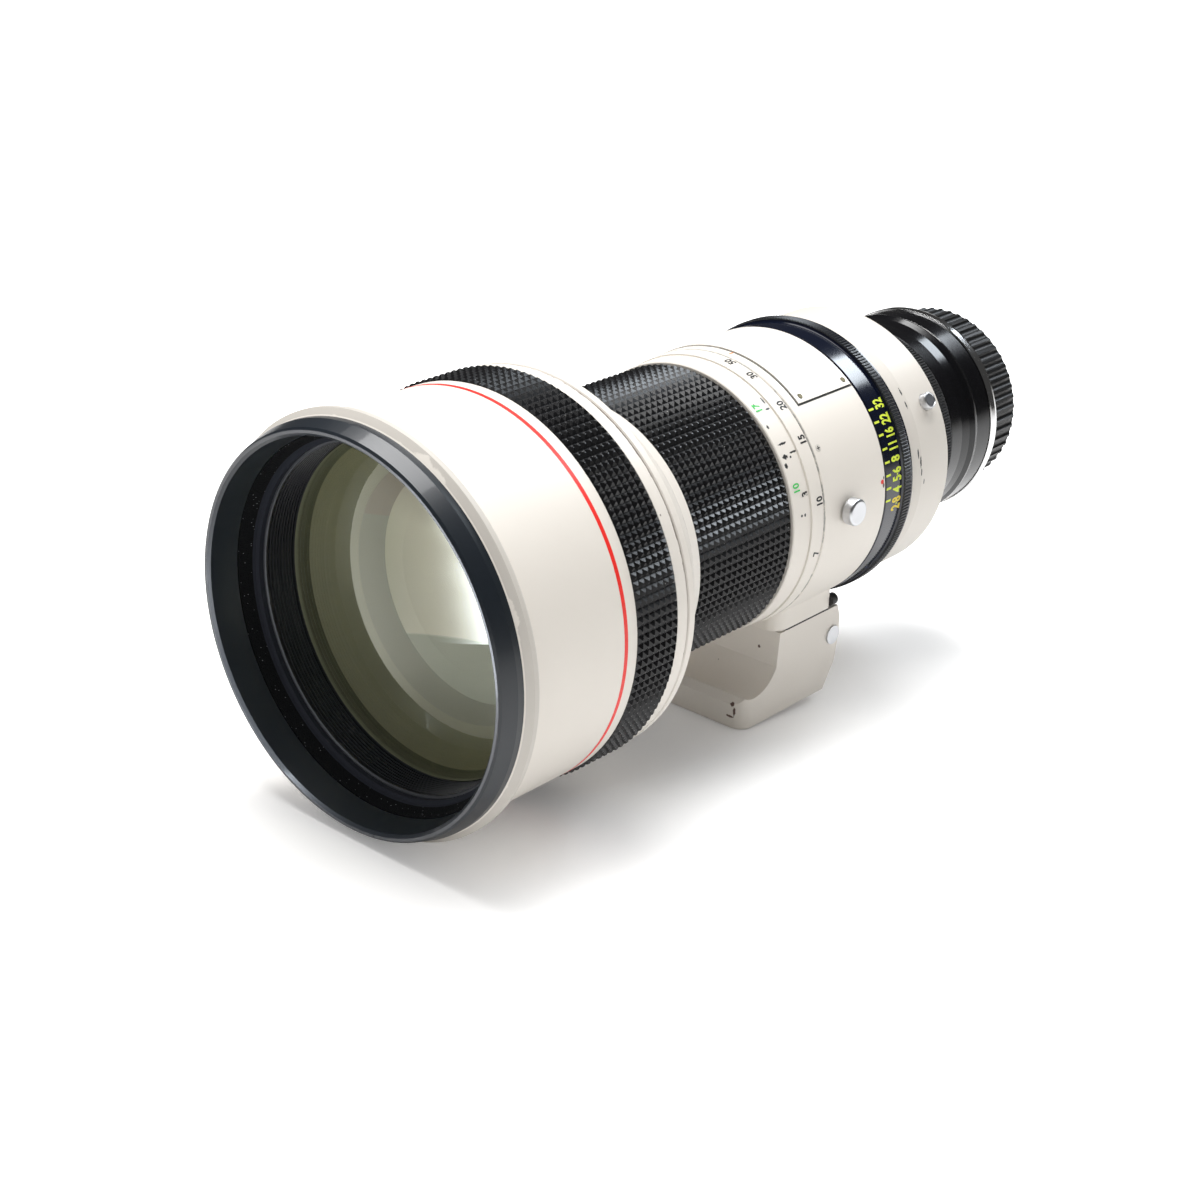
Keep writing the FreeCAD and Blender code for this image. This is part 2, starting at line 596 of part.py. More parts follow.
def drive_place(step):
    """Radius and angle of a drive pin when the blade has swung by a share of its range."""
    swing = math.radians(IRIS_SWING * step)
    arm = IRIS_DRIVE_R - IRIS_PIVOT_R
    across = arm * math.sin(swing)
    out = IRIS_PIVOT_R + arm * math.cos(swing)
    return math.hypot(across, out), math.degrees(math.atan2(across, out))


def cam_slot():
    """Cutter for one cam slot: the path of a drive pin as the ring turns under it."""
    y0 = iris_cam_front() - 0.5
    y1 = iris_cam_front() + IRIS_CAM_THICK + 0.5
    half = IRIS_PIN_R + 0.12
    steps = 12
    outer_side = []
    inner_side = []
    for i in range(steps + 1):
        share = (1 + 2 * IRIS_SLOT_EXTRA) * i / steps - IRIS_SLOT_EXTRA
        radius, angle = drive_place(share)
        at = angle - IRIS_TURN * share + IRIS_REST
        outer_side.append(radial(at) * (radius + half) + vec(0, y0, 0))
        inner_side.append(radial(at) * (radius - half) + vec(0, y0, 0))
    loop = outer_side + inner_side[::-1]
    face = Part.Face(Part.makePolygon(loop + loop[:1]))
    return face.extrude(vec(0, y1 - y0, 0))


def make_iris():
    bore = TUBE_R - TUBE_WALL
    plate_rear = IRIS_PLATE_Y + IRIS_PLATE_THICK
    cam_front = iris_cam_front()
    cam_rear = cam_front + IRIS_CAM_THICK
    cup = turned([(IRIS_PLATE_Y, IRIS_OPEN_R + 1.2), (IRIS_PLATE_Y, bore),
                  (cam_front - 0.4, bore), (cam_front - 0.4, bore - 1.0),
                  (plate_rear, bore - 1.0), (plate_rear, IRIS_OPEN_R + 1.2)])
    holes = []
    for k in range(BLADES):
        at = iris_point(IRIS_PIVOT_R, 360.0 / BLADES * k, IRIS_PLATE_Y - 1)
        holes.append(Part.makeCylinder(IRIS_PIN_R + RUNNING_FIT, IRIS_PLATE_THICK + 2, at, AXIS))
    keep("iris_housing", cup.cut(holes))
    cam = ring(cam_front, cam_rear, IRIS_OPEN_R + 1.2, bore - RUNNING_FIT)
    slots = [turn(cam_slot(), 360.0 / BLADES * k) for k in range(BLADES)]
    cam = cam.cut(slots)
    fork = radial_pin((cam_front + cam_rear) / 2, fork_angle(), bore - 1.0,
                      TUBE_R + 3.6, IRIS_CAM_THICK / 2 - 0.1)
    keep("iris_cam_ring", cam.fuse(fork))
    keep("iris_cover_ring", ring(cam_rear + 0.15, cam_rear + 1.6, IRIS_OPEN_R + 1.2, bore))
    for k in range(BLADES):
        keep("iris_blade_%d" % (k + 1), iris_blade(k))


# Aperture ring
def make_aperture_ring():
    inner = TUBE_R + FACE_GAP
    front = Y_COLLAR_REAR + FACE_GAP
    rear = Y_APERTURE_REAR
    body = turned([(front, inner), (front, R_APERTURE - 0.3), (front + 0.3, R_APERTURE),
                   (front + 8.6, R_APERTURE), (front + 9.0, R_APERTURE_LIP - 0.3),
                   (front + 9.4, R_APERTURE_LIP), (rear - 0.4, R_APERTURE_LIP),
                   (rear, R_APERTURE_LIP - 0.4), (rear, inner)])
    middle = iris_cam_front() + IRIS_CAM_THICK / 2
    half = IRIS_CAM_THICK / 2
    fork = box(-half - 0.05, half + 0.05, middle - half - 0.05, rear + 1, inner - 1, TUBE_R + 4.2)
    keep("aperture_ring", body.cut(turn(fork, fork_angle())))


# Rear barrel with the drop-in filter holder and the release button
def holder_outline(grow, y0, y1, reach):
    """Stadium that holds the filter, open towards -X."""
    half = FILTER_HALF + grow
    round_end = Part.makeCylinder(half, y1 - y0, vec(0, y0, 0), AXIS)
    return round_end.fuse(box(-reach, 0, y0, y1, -half, half))


def make_rear_barrel():
    front = Y_APERTURE_REAR + FACE_GAP
    rear = Y_REAR_RING_REAR
    inner = TUBE_R + SEAT
    worn = front + 6.8
    body = turned([(front, inner), (front, R_REAR_RING_FRONT), (worn, R_REAR_RING),
                   (rear - 0.6, R_REAR_RING), (rear, R_REAR_RING - 0.6), (rear, inner)])
    core_bore = FILTER_HALF + 2.0
    core = ring(Y_APERTURE_REAR, rear, core_bore, TUBE_R)
    y0 = FILTER_Y - FILTER_THICK / 2
    y1 = FILTER_Y + FILTER_THICK / 2
    slot = holder_outline(FACE_GAP, y0 - FACE_GAP, y1 + FACE_GAP, R_REAR_RING + 5)
    cover_gap = sector(FILTER_Y - FILTER_COVER_HALF - FACE_GAP, FILTER_Y + FILTER_COVER_HALF + FACE_GAP,
                       R_REAR_RING - 4.0, R_REAR_RING + 3,
                       -90 - FILTER_COVER_ANGLE - 0.4, 2 * FILTER_COVER_ANGLE + 0.8)
    well = radial_pin(BUTTON_Y, BUTTON_ANGLE, R_REAR_RING - 4.6, R_REAR_RING + 3, BUTTON_R + RUNNING_FIT)
    stem = radial_pin(BUTTON_Y, BUTTON_ANGLE, core_bore - 1, R_REAR_RING, BUTTON_STEM_R + RUNNING_FIT)
    keep("rear_barrel", body.cut([slot, cover_gap, well, stem]))
    keep("rear_inner_tube", core.cut([slot, stem]))
    top = R_REAR_RING + BUTTON_PROUD
    head = radial_pin(BUTTON_Y, BUTTON_ANGLE, R_REAR_RING - 0.6, top, BUTTON_R)
    shaft = radial_pin(BUTTON_Y, BUTTON_ANGLE, R_REAR_RING - 9.0, R_REAR_RING, BUTTON_STEM_R)
    keep("release_button", head.fuse(shaft).removeSplitter())
    coil = radial_pin(BUTTON_Y, BUTTON_ANGLE, R_REAR_RING - 4.6, R_REAR_RING - 0.6, BUTTON_R - 0.3)
    room = radial_pin(BUTTON_Y, BUTTON_ANGLE, R_REAR_RING - 5, R_REAR_RING, BUTTON_STEM_R + 0.3)
    keep("button_spring", coil.cut(room))
    holder = holder_outline(0, y0, y1, R_REAR_RING - 4.0)
    holder = holder.cut(disc(y0 - 1, y1 + 1, FILTER_GLASS_R + 0.02))
    cover = sector(FILTER_Y - FILTER_COVER_HALF, FILTER_Y + FILTER_COVER_HALF,
                   R_REAR_RING - 3.6, R_REAR_RING,
                   -90 - FILTER_COVER_ANGLE, 2 * FILTER_COVER_ANGLE)
    lip = disc(y0, y0 + 0.8, FILTER_GLASS_R + 0.02).cut(disc(y0 - 1, y1, FILTER_GLASS_R - 1.2))
    keep("filter_holder", holder.fuse([cover, lip]).removeSplitter())
    keep("filter_glass", disc(y0 + 0.9, y0 + 2.9, FILTER_GLASS_R))


# Rear glass and the lens mount; returns the screws in its plate
def lug_ring(y0, y1, inner, outer):
    """Bayonet lugs round a tube."""
    lugs = []
    for k in range(MOUNT_LUGS):
        middle = 360.0 / MOUNT_LUGS * k
        lugs.append(sector(y0, y1, inner, outer, middle - MOUNT_LUG_SPAN / 2, MOUNT_LUG_SPAN))
    return lugs


def make_mount():
    cell_front = FILTER_Y + FILTER_THICK / 2 + 1.2
    glass_r = MOUNT_BORE_R - 3.0
    keep("rear_cell", turned([(cell_front, glass_r - 1.4), (cell_front, FILTER_HALF + 2.0),
                              (cell_front + 8.0, FILTER_HALF + 2.0), (cell_front + 8.0, MOUNT_BORE_R),
                              (-1.0, MOUNT_BORE_R), (-1.0, glass_r), (cell_front + 1.2, glass_r),
                              (cell_front + 1.2, glass_r - 1.4)]))
    keep("rear_element_front", lens(cell_front + 3.4, cell_front + 8.8, 90.0, -120.0, glass_r))
    keep("rear_element_back", lens(cell_front + 12.0, cell_front + 15.2, -110.0, 160.0, glass_r))
    keep("mount_base", ring(Y_REAR_RING_REAR, -MOUNT_PLATE_THICK, MOUNT_BORE_R + SEAT, MOUNT_FLANGE_R))
    flange = ring(-MOUNT_PLATE_THICK, Y_FLANGE, MOUNT_BORE_R + SEAT, MOUNT_FLANGE_R)
    tube = ring(Y_FLANGE, MOUNT_TUBE_LENGTH, MOUNT_BORE_R + SEAT, MOUNT_TUBE_R)
    lugs = lug_ring(MOUNT_TUBE_LENGTH - 1.8, MOUNT_TUBE_LENGTH, MOUNT_TUBE_R - 1,
                    MOUNT_TUBE_R + MOUNT_LUG_HEIGHT)
    screws = screw_heads(Y_FLANGE, MOUNT_FLANGE_R - 3.4)
    keep("mount_plate", flange.fuse([tube] + lugs).removeSplitter().cut(screws))
    return screws


def screw_heads(face, circle):
    """Four flush screw heads in a face, on a circle about the axis."""
    heads = []
    for k in range(4):
        at = radial(45 + 90 * k) * circle + vec(0, face - MOUNT_SCREW_DEEP, 0)
        heads.append(Part.makeCylinder(MOUNT_SCREW_R, MOUNT_SCREW_DEEP, at, AXIS))
    return heads


# Adapter, camera-side plate and rear cap
def make_adapter():
    """Adapter on the lens mount. Returns its screws, which match the ones in the lens mount."""
    keep("adapter_lock_ring", chamfered_ring(Y_REAR_RING_REAR + FACE_GAP, Y_LOCK_REAR,
                                             MOUNT_FLANGE_R + RUNNING_FIT, R_LOCK_RING, 0.4))
    front = Y_LOCK_REAR + FACE_GAP
    spigot = MOUNT_FLANGE_R - FACE_GAP
    bore = MOUNT_TUBE_R + MOUNT_LUG_HEIGHT + FACE_GAP
    tube_room = MOUNT_TUBE_LENGTH + 1.0
    ridge = Y_ADAPTER_RIDGE
    rear = Y_ADAPTER_REAR
    body = turned([(Y_FLANGE + SEAT, bore), (Y_FLANGE + SEAT, spigot), (front, spigot),
                   (front, R_ADAPTER_WAIST), (front + 0.4, R_ADAPTER_WAIST + 0.3),
                   (front + 7.0, R_ADAPTER_WAIST), (ridge - 2.4, R_ADAPTER_WAIST + 0.4),
                   (ridge - 0.6, R_ADAPTER - 0.2), (ridge, R_ADAPTER), (ridge + 0.7, R_ADAPTER - 0.1),
                   (ridge + 1.8, R_ADAPTER_BAND), (rear - 0.5, R_ADAPTER_BAND),
                   (rear, R_ADAPTER_BAND - 0.4), (rear, CAMERA_BORE_R),
                   (tube_room, CAMERA_BORE_R), (tube_room, bore)])
    keep("adapter_body", body)
    tube_rear = Y_PLATE_REAR + CAMERA_TUBE_LENGTH
    plate = turned([(Y_ADAPTER_REAR, CAMERA_BORE_R), (Y_ADAPTER_REAR, R_CAMERA_PLATE - 0.3),
                    (Y_ADAPTER_REAR + 0.3, R_CAMERA_PLATE), (Y_PLATE_REAR - 1.6, R_CAMERA_PLATE),
                    (Y_PLATE_REAR - 0.4, R_CAMERA_PLATE - 0.4), (Y_PLATE_REAR, R_CAMERA_PLATE - 1.2),
                    (Y_PLATE_REAR, CAMERA_TUBE_R), (tube_rear, CAMERA_TUBE_R),
                    (tube_rear, CAMERA_BORE_R)])
    lugs = lug_ring(tube_rear - 1.6, tube_rear, CAMERA_TUBE_R - 1, CAMERA_TUBE_R + MOUNT_LUG_HEIGHT)
    screws = screw_heads(Y_PLATE_REAR, (CAMERA_TUBE_R + R_CAP) / 2)
    keep("camera_plate", plate.fuse(lugs).removeSplitter().cut(screws))
    return screws


def make_rear_cap():
    """Cup with scalloped ribs round its wall and three inner lugs that hook the bayonet."""
    front = Y_PLATE_REAR + FACE_GAP
    inner = R_CAP - CAP_WALL
    rear_inner = Y_CAP_REAR - CAP_WALL
    cup = turned([(front, inner), (front, R_CAP), (Y_CAP_REAR - 1.4, R_CAP),
                  (Y_CAP_REAR, R_CAP - 1.6), (Y_CAP_REAR, 0), (rear_inner, 0), (rear_inner, inner)])
    pitch = 2 * math.pi * R_CAP / CAP_RIBS
    flute_r = pitch * 0.42
    flutes = []
    for k in range(CAP_RIBS):
        centre = radial(360.0 / CAP_RIBS * k) * (R_CAP + flute_r - CAP_RIB_DEPTH)
        flutes.append(Part.makeCylinder(flute_r, Y_CAP_REAR - front - 2 * CAP_RIM,
                                        centre + vec(0, front + CAP_RIM, 0), AXIS))
    hook_y = Y_PLATE_REAR + CAMERA_TUBE_LENGTH - 1.6 - FACE_GAP
    hooks = lug_ring(front, hook_y, CAMERA_TUBE_R + FACE_GAP, inner + 1)
    keep("rear_cap", cup.cut(flutes).fuse(hooks))


def write_parts():
    os.makedirs("parts", exist_ok=True)
    for name, shape in PARTS.items():
        shape.exportStep("parts/%s.step" % name)
        volume = sum(s.Volume for s in shape.Solids)
        print("%-24s solids %d volume %.1f valid %s" % (name, len(shape.Solids), volume,
                                                        shape.isValid()))


make_hood()
make_front()
make_main_tube()
make_focus_ring()
make_focus_group()
make_collar()
make_foot()
make_iris()
make_aperture_ring()
make_rear_barrel()
keep("mount_screws", Part.makeCompound(make_mount() + make_adapter()))
make_rear_cap()
write_parts()
print("nodes", len(PARTS))
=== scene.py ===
"""Finish, rubber, scales, glass and stage of a large telephoto lens, built round its solid model."""
import math

import bmesh
import bpy
import numpy as np
from mathutils import Matrix, Vector


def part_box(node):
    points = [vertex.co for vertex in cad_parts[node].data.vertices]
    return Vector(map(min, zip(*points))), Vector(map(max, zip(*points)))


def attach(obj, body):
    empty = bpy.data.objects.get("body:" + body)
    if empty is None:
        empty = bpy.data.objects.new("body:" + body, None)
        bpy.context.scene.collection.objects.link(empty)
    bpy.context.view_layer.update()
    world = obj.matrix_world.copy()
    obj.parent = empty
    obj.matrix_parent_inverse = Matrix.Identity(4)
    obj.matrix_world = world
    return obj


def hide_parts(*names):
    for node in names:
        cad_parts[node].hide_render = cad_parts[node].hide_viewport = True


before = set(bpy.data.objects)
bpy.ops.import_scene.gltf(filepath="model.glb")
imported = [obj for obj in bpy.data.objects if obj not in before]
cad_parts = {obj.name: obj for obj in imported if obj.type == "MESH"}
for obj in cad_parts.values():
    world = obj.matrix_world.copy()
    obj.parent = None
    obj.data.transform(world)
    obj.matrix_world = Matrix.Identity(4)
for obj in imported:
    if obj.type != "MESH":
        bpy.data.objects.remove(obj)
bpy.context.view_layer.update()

bl_info = {
    "name": "Telephoto Lens Looks",
    "version": (1, 0, 0),
    "blender": (4, 5, 0),
    "location": "3D View > Sidebar > Lens",
    "description": "Enamel, moulded rubber, scales, coated glass and stage for a large telephoto lens",
    "category": "Object",
}

MM = 0.001
# Radius of a profile's end on its own axis, which merging closes
ON_AXIS = 1e-7


def reach(node):
    """Front place, rear place and outer radius of a turned node, in metres, from its box."""
    low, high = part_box(node)
    return low.y, high.y, max(high.x, high.z)


# Places along the optical axis and radii, in metres
GRIP_FRONT, GRIP_REAR, GRIP_RADIUS = reach("focus_rubber")
HOOD_GRIP_FRONT, HOOD_GRIP_REAR, HOOD_GRIP_RADIUS = reach("hood_grip_rubber")
LOCK_FRONT, LOCK_REAR, LOCK_RADIUS = reach("adapter_lock_ring")
APERTURE_LIP = reach("aperture_ring")[2]
APERTURE_RADIUS = 46.5 * MM
APERTURE_ROW = -43.5 * MM
COLLAR_RADIUS = 46.4 * MM
HOOD_RADIUS = 60.5 * MM
SCALE_RADIUS = 45.6 * MM
SCALE_STEP_RADIUS = 46.18 * MM
REAR_RADIUS = 45.9 * MM
STUD_PLACE = -70.6 * MM
BUTTON_PLACE = -19.9 * MM
BUTTON_ANGLE = 58.2
FOOT_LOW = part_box("foot")[0]
# Shares of a fine tooth's pitch between which it is flat, and the height at a toothed band's ends in
# tooth depths, where it goes down to its inner wall
KNURL_TOP = (0.3, 0.6)
BAND_END = -0.2
# Colours of several finishes
BLACK = (0.004, 0.0045, 0.006)
GREY = (0.42, 0.41, 0.39)


def a_count(name, description, default, least):
    """Property for a number of teeth."""
    return bpy.props.IntProperty(name=name, description=description, default=default, min=least)


def a_length(name, description, size):
    """Property for a length, with its default in mm."""
    return bpy.props.FloatProperty(name=name, description=description, default=size * MM, unit="LENGTH")


def a_colour(name, description, *tone):
    """Property for a colour."""
    return bpy.props.FloatVectorProperty(name=name, description=description, default=tone, size=3,
                                         subtype="COLOR")


class LensSizes(bpy.types.PropertyGroup):
    """Sizes that a user would change."""
    grip_teeth: a_count("Grip teeth", "Pyramids round the focusing grip", 108, 24)
    hood_grip_teeth: a_count("Hood grip teeth", "Pyramids round the hood's grip", 144, 24)
    grip_pitch: a_length("Grip pitch", "Distance between rows of pyramids along the lens", 2.6)
    grip_depth: a_length("Grip depth", "Height of the rubber pyramids", 0.85)
    grip_top: bpy.props.FloatProperty(
        name="Pyramid top", description="Share of the pitch that is flat on top", default=0.16,
        min=0.05, max=0.9)
    knurl_teeth: a_count("Knurl teeth", "Fine teeth round the aperture ring", 260, 60)
    knurl_depth: a_length("Knurl depth", "Height of the fine teeth", 0.35)
    numeral_lift: a_length("Numeral lift", "How far filled numerals and marks stand proud", 0.03)
    aperture_numeral: a_length("Aperture numeral", "Height of the aperture numerals", 4.8)
    distance_numeral: a_length("Distance numeral", "Height of the distance numerals", 3.0)
    red_line_place: a_length("Red line place", "Place of the red line along the optical axis", -193.6)
    red_line_width: a_length("Red line width", "Width of the red line", 1.4)
    focal_length: bpy.props.FloatProperty(
        name="Camera focal length", description="Focal length of the picture's camera, in mm",
        default=66.0, min=10)


class LensColours(bpy.types.PropertyGroup):
    """Colours that a user would change."""
    enamel: a_colour("Enamel", "Off-white enamel", 0.80, 0.755, 0.69)
    stain: a_colour("Stain", "Brown dirt and worn paint in the joints", 0.11, 0.065, 0.05)
    red_line: a_colour("Red line", "Red line round the hood", 0.93, 0.02, 0.012)
    rim: a_colour("Rim", "Blue-black enamel of the hood's rim", 0.011, 0.016, 0.023)
    rubber: a_colour("Rubber", "Moulded black rubber", 0.007, 0.007, 0.008)
    scale_black: a_colour("Scale black", "Blue-black of the aperture ring", 0.0025, 0.005, 0.016)
    numeral_yellow: a_colour("Numeral yellow", "Aperture numerals", 0.74, 0.88, 0.06)
    numeral_green: a_colour("Numeral green", "Second distance scale", 0.05, 0.62, 0.12)
    coating: a_colour("Coating", "Tint of the glass's reflections", 0.86, 0.87, 0.76)


def sizes():
    return bpy.context.scene.lens_sizes


def colours():
    return bpy.context.scene.lens_colours


def shaded(colour, share):
    """Colour made darker or lighter by a share, up to white."""
    return [min(1.0, c * share) for c in colour]


# Shapes

def wrapped(radius, place, angle):
    """Points round the optical axis: x is radius times sine, z radius times cosine of the angle."""
    radius, place, angle = np.broadcast_arrays(radius, place, angle)
    return np.stack([radius * np.sin(angle), place, radius * np.cos(angle)], -1).reshape(-1, 3)


def grid_quads(rows, columns):
    """Quads of a grid of points that goes right round both ways."""
    row = np.arange(rows)[:, None]
    column = np.arange(columns)
    next_row = (row + 1) % rows
    next_column = (column + 1) % columns
    corners = [row * columns + column, row * columns + next_column,
               next_row * columns + next_column, next_row * columns + column]
    return np.stack(corners, -1).reshape(-1, 4)


def split_quads(quads, height):
    """Triangles from quads, each split along the diagonal whose ends differ most in height."""
    h = height.reshape(-1)[quads]
    first = np.abs(h[:, 0] - h[:, 2]) >= np.abs(h[:, 1] - h[:, 3])
    along = np.concatenate([quads[first][:, [0, 1, 2]], quads[first][:, [0, 2, 3]]])
    across = np.concatenate([quads[~first][:, [0, 1, 3]], quads[~first][:, [1, 2, 3]]])
    return np.concatenate([along, across])


def outward(points, faces):
    """Faces turned so that the closed surface's volume, summed over its corner fans, is positive."""
    total = 0.0
    for k in range(1, faces.shape[1] - 1):
        a, b, c = points[faces[:, 0]], points[faces[:, k]], points[faces[:, k + 1]]
        total += np.einsum("ij,ij->", a, np.cross(b, c))
    return faces if total > 0 else faces[:, ::-1]


def place_mesh(name, shape, body, material, smooth=True, merge=False):
    """Object at the origin from points and faces, riding on a body."""
    mesh = bpy.data.meshes.new(name)
    mesh.from_pydata(shape[0].tolist(), [], shape[1].tolist())
    if merge:
        cleaned = bmesh.new()
        cleaned.from_mesh(mesh)
        bmesh.ops.remove_doubles(cleaned, verts=cleaned.verts, dist=1e-6)
        bmesh.ops.dissolve_degenerate(cleaned, edges=cleaned.edges, dist=1e-7)
        bmesh.ops.recalc_face_normals(cleaned, faces=cleaned.faces)
        cleaned.to_mesh(mesh)
        cleaned.free()
    mesh.update()
    if smooth:
        mesh.polygons.foreach_set("use_smooth", np.ones(len(mesh.polygons), bool))
        mesh.set_sharp_from_angle(angle=math.radians(32))
    piece = bpy.data.objects.new(name, mesh)
    bpy.context.scene.collection.objects.link(piece)
    piece.data.materials.append(material)
    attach(piece, body)
    return piece


def turned(profile, columns=192):
    """Points and quads of a closed profile of (y, radius) pairs turned about the optical axis."""
    y, r = np.array(profile, float).T
    angle = np.linspace(0, 2 * np.pi, columns, endpoint=False)
    points = wrapped(r[:, None], y[:, None], angle)
    return points, outward(points, grid_quads(len(profile), columns))


def toothed_band(places, heights, base, depth, teeth, top, seat):
    """Band whose radius is the base plus the depth times the lower of two profiles: the heights
    along the axis, and round it teeth that are flat between two shares of their pitch. Its ends
    go down to an inner wall at the seat radius."""
    pitch = 2 * np.pi / teeth
    angle = (np.arange(teeth)[:, None] * pitch + np.array([0.0, *top]) * pitch).reshape(-1)
    height = np.minimum(np.tile([0.0, 1.0, 1.0], teeth), heights[:, None])
    radius = base + depth * np.maximum(height, 0.0)
    radius[[0, -1]] = seat
    points = wrapped(radius, places[:, None], angle)
    faces = split_quads(grid_quads(len(places), len(angle)), height)
    return points, outward(points, faces)


def bevelled_rows(front, rear, bevel):
    """Places and heights along a band of fine teeth with sloped ends."""
    foot = 0.02 * MM
    places = [front, front + foot, front + bevel, rear - bevel, rear - foot, rear]
    return np.array(places), np.array([BAND_END, 0.0, 1.0, 1.0, 0.0, BAND_END])


def pyramid_rows(front, rear, pitch, top):
    """Places and heights along whole rows of flat-topped pyramids with a lip at each end."""
    lip = 0.15 * MM
    wall = 0.1 * MM
    rows = max(1, round((rear - front - 2 * lip) / pitch))
    step = (rear - front - 2 * lip) / rows
    slope = (1 - top) / 2
    places = [front + wall, front + wall, front + lip]
    heights = [BAND_END, 0.0, 0.0]
    for k in range(rows):
        start = front + lip + k * step
        places += [start + slope * step, start + (slope + top) * step, start + step]
        heights += [1.0, 1.0, 0.0]
    return np.array(places + [rear - wall, rear - wall]), np.array(heights + [0.0, BAND_END])


def patch(front, rear, start, end, radius, steps=4):
    """Thin closed strip on a cylinder, between two places and two angles in degrees."""
    angle = np.radians(np.linspace(start, end, steps + 1))
    columns = steps + 1
    lift = sizes().numeral_lift
    radii = np.array([radius - lift, radius + lift, radius + lift, radius - lift])
    places = np.array([front, front, rear, rear])
    points = wrapped(radii[:, None], places[:, None], angle)
    sides = grid_quads(4, columns).reshape(4, columns, 4)[:, :-1].reshape(-1, 4)
    wall = np.arange(4) * columns
    faces = np.concatenate([sides, [wall, np.roll(wall[::-1], 1) + steps]])
    return points, outward(points, faces)


def numeral(text, place, angle, radius, height, narrow, bold):
    """Numeral wrapped round a cylinder: across the text goes round the axis by its share of the
    radius, up the text goes towards the front, and its thickness goes outwards."""
    curve = bpy.data.curves.new("numeral", "FONT")
    curve.body = text
    curve.align_x = "CENTER"
    curve.extrude = 0.02
    curve.offset = bold
    curve.resolution_u = 3
    holder = bpy.data.objects.new("numeral", curve)
    bpy.context.scene.collection.objects.link(holder)
    graph = bpy.context.evaluated_depsgraph_get()
    mesh = bpy.data.meshes.new_from_object(holder.evaluated_get(graph))
    shape = bmesh.new()
    shape.from_mesh(mesh)
    bmesh.ops.triangulate(shape, faces=shape.faces)
    shape.to_mesh(mesh)
    shape.free()
    flat = np.zeros(len(mesh.vertices) * 3)
    mesh.vertices.foreach_get("co", flat)
    flat = flat.reshape(-1, 3)
    faces = np.zeros(len(mesh.polygons) * 3, int)
    mesh.polygons.foreach_get("vertices", faces)
    bpy.data.objects.remove(holder)
    bpy.data.curves.remove(curve)
    bpy.data.meshes.remove(mesh)
    scale = height / (flat[:, 1].max() - flat[:, 1].min())
    across = (flat[:, 0] - (flat[:, 0].max() + flat[:, 0].min()) / 2) * scale * narrow
    up = (flat[:, 1] - (flat[:, 1].max() + flat[:, 1].min()) / 2) * scale
    lift = sizes().numeral_lift
    r = radius + np.where(flat[:, 2] > 0, lift, -lift)
    return wrapped(r, place - up, math.radians(angle) - across / radius), faces.reshape(-1, 3)


def gathered(parts):
    """One set of points and faces from several with faces of one size."""
    starts = np.cumsum([0] + [len(points) for points, _ in parts])
    return (np.concatenate([points for points, _ in parts]),
            np.concatenate([faces + start for (_, faces), start in zip(parts, starts)]))


def disc(low, high, radius):
    """Closed profile of a flat disc between two heights."""
    return [(low, ON_AXIS), (low, radius), (high, radius), (high, ON_AXIS)]


def knob(place, angle, profile, columns=48):
    """Closed profile of (height, radius) pairs turned about an axis that points away from the
    optical axis at a place and an angle in degrees."""
    h, r = np.array(profile, float).T[:, :, None, None]
    turn = np.linspace(0, 2 * np.pi, columns, endpoint=False)[:, None]
    a = math.radians(angle)
    outwards = np.array([math.sin(a), 0, math.cos(a)])
    sideways = np.array([math.cos(a), 0, -math.sin(a)])
    along = np.array([0, 1.0, 0])
    points = place * along + h * outwards + r * (np.cos(turn) * sideways + np.sin(turn) * along)
    points = points.reshape(-1, 3)
    return points, outward(points, grid_quads(len(profile), columns))


# Shader building

def feed(tree, socket, value):
    """Give a socket a value or another node's output."""
    if isinstance(value, bpy.types.NodeSocket):
        tree.links.new(value, socket)
    elif socket.type == "RGBA":
        socket.default_value = (*value[:3], 1)
    else:
        socket.default_value = value


def add_node(tree, kind, *values, settings=(), **sockets):
    """One node; its first sockets take the values in order and named ones the values by name."""
    made = tree.nodes.new("ShaderNode" + kind)
    for key, value in settings:
        setattr(made, key, value)
    for socket, value in zip(made.inputs, values):
        feed(tree, socket, value)
    for key, value in sockets.items():
        feed(tree, made.inputs[key.replace("_", " ")], value)
    return made


def calc(tree, operation, *terms):
    """Math node on up to three numbers or outputs."""
    return add_node(tree, "Math", *terms, settings=[("operation", operation)]).outputs[0]


def blend_colour(tree, mask, below, above):
    """Colour mixed by a mask."""
    made = add_node(tree, "Mix", settings=[("data_type", "RGBA")])
    for place, value in ((0, mask), (6, below), (7, above)):
        feed(tree, made.inputs[place], value)
    return made.outputs[2]


def mix_shaders(tree, share, first, second):
    """Shader node mixed from two others."""
    return add_node(tree, "MixShader", share, first.outputs[0], second.outputs[0])


def object_place(tree):
    """Object coordinates."""
    return add_node(tree, "TexCoord").outputs["Object"]


def axes(tree):
    """The three object coordinates one by one."""
    return add_node(tree, "SeparateXYZ", object_place(tree)).outputs


def scaled_distance(tree, scale, offset):
    """Length of the object coordinates after each is scaled and moved."""
    plan = add_node(tree, "VectorMath", object_place(tree), scale, offset,
                    settings=[("operation", "MULTIPLY_ADD")])
    return add_node(tree, "VectorMath", plan.outputs[0],
                    settings=[("operation", "LENGTH")]).outputs["Value"]


def noise(tree, scale, detail, roughness=0.5):
    """Noise over the object coordinates."""
    return add_node(tree, "TexNoise", Vector=object_place(tree), Scale=scale, Detail=detail,
                    Roughness=roughness).outputs["Fac"]


def clamped(tree, value):
    """Number kept between 0 and 1."""
    return add_node(tree, "Clamp", value).outputs[0]


def ramp(tree, value, start, end, low=0.0, high=1.0):
    """Number that goes from low to high while a value goes from start to end."""
    return add_node(tree, "MapRange", value, From_Min=start, From_Max=end, To_Min=low,
                    To_Max=high).outputs[0]


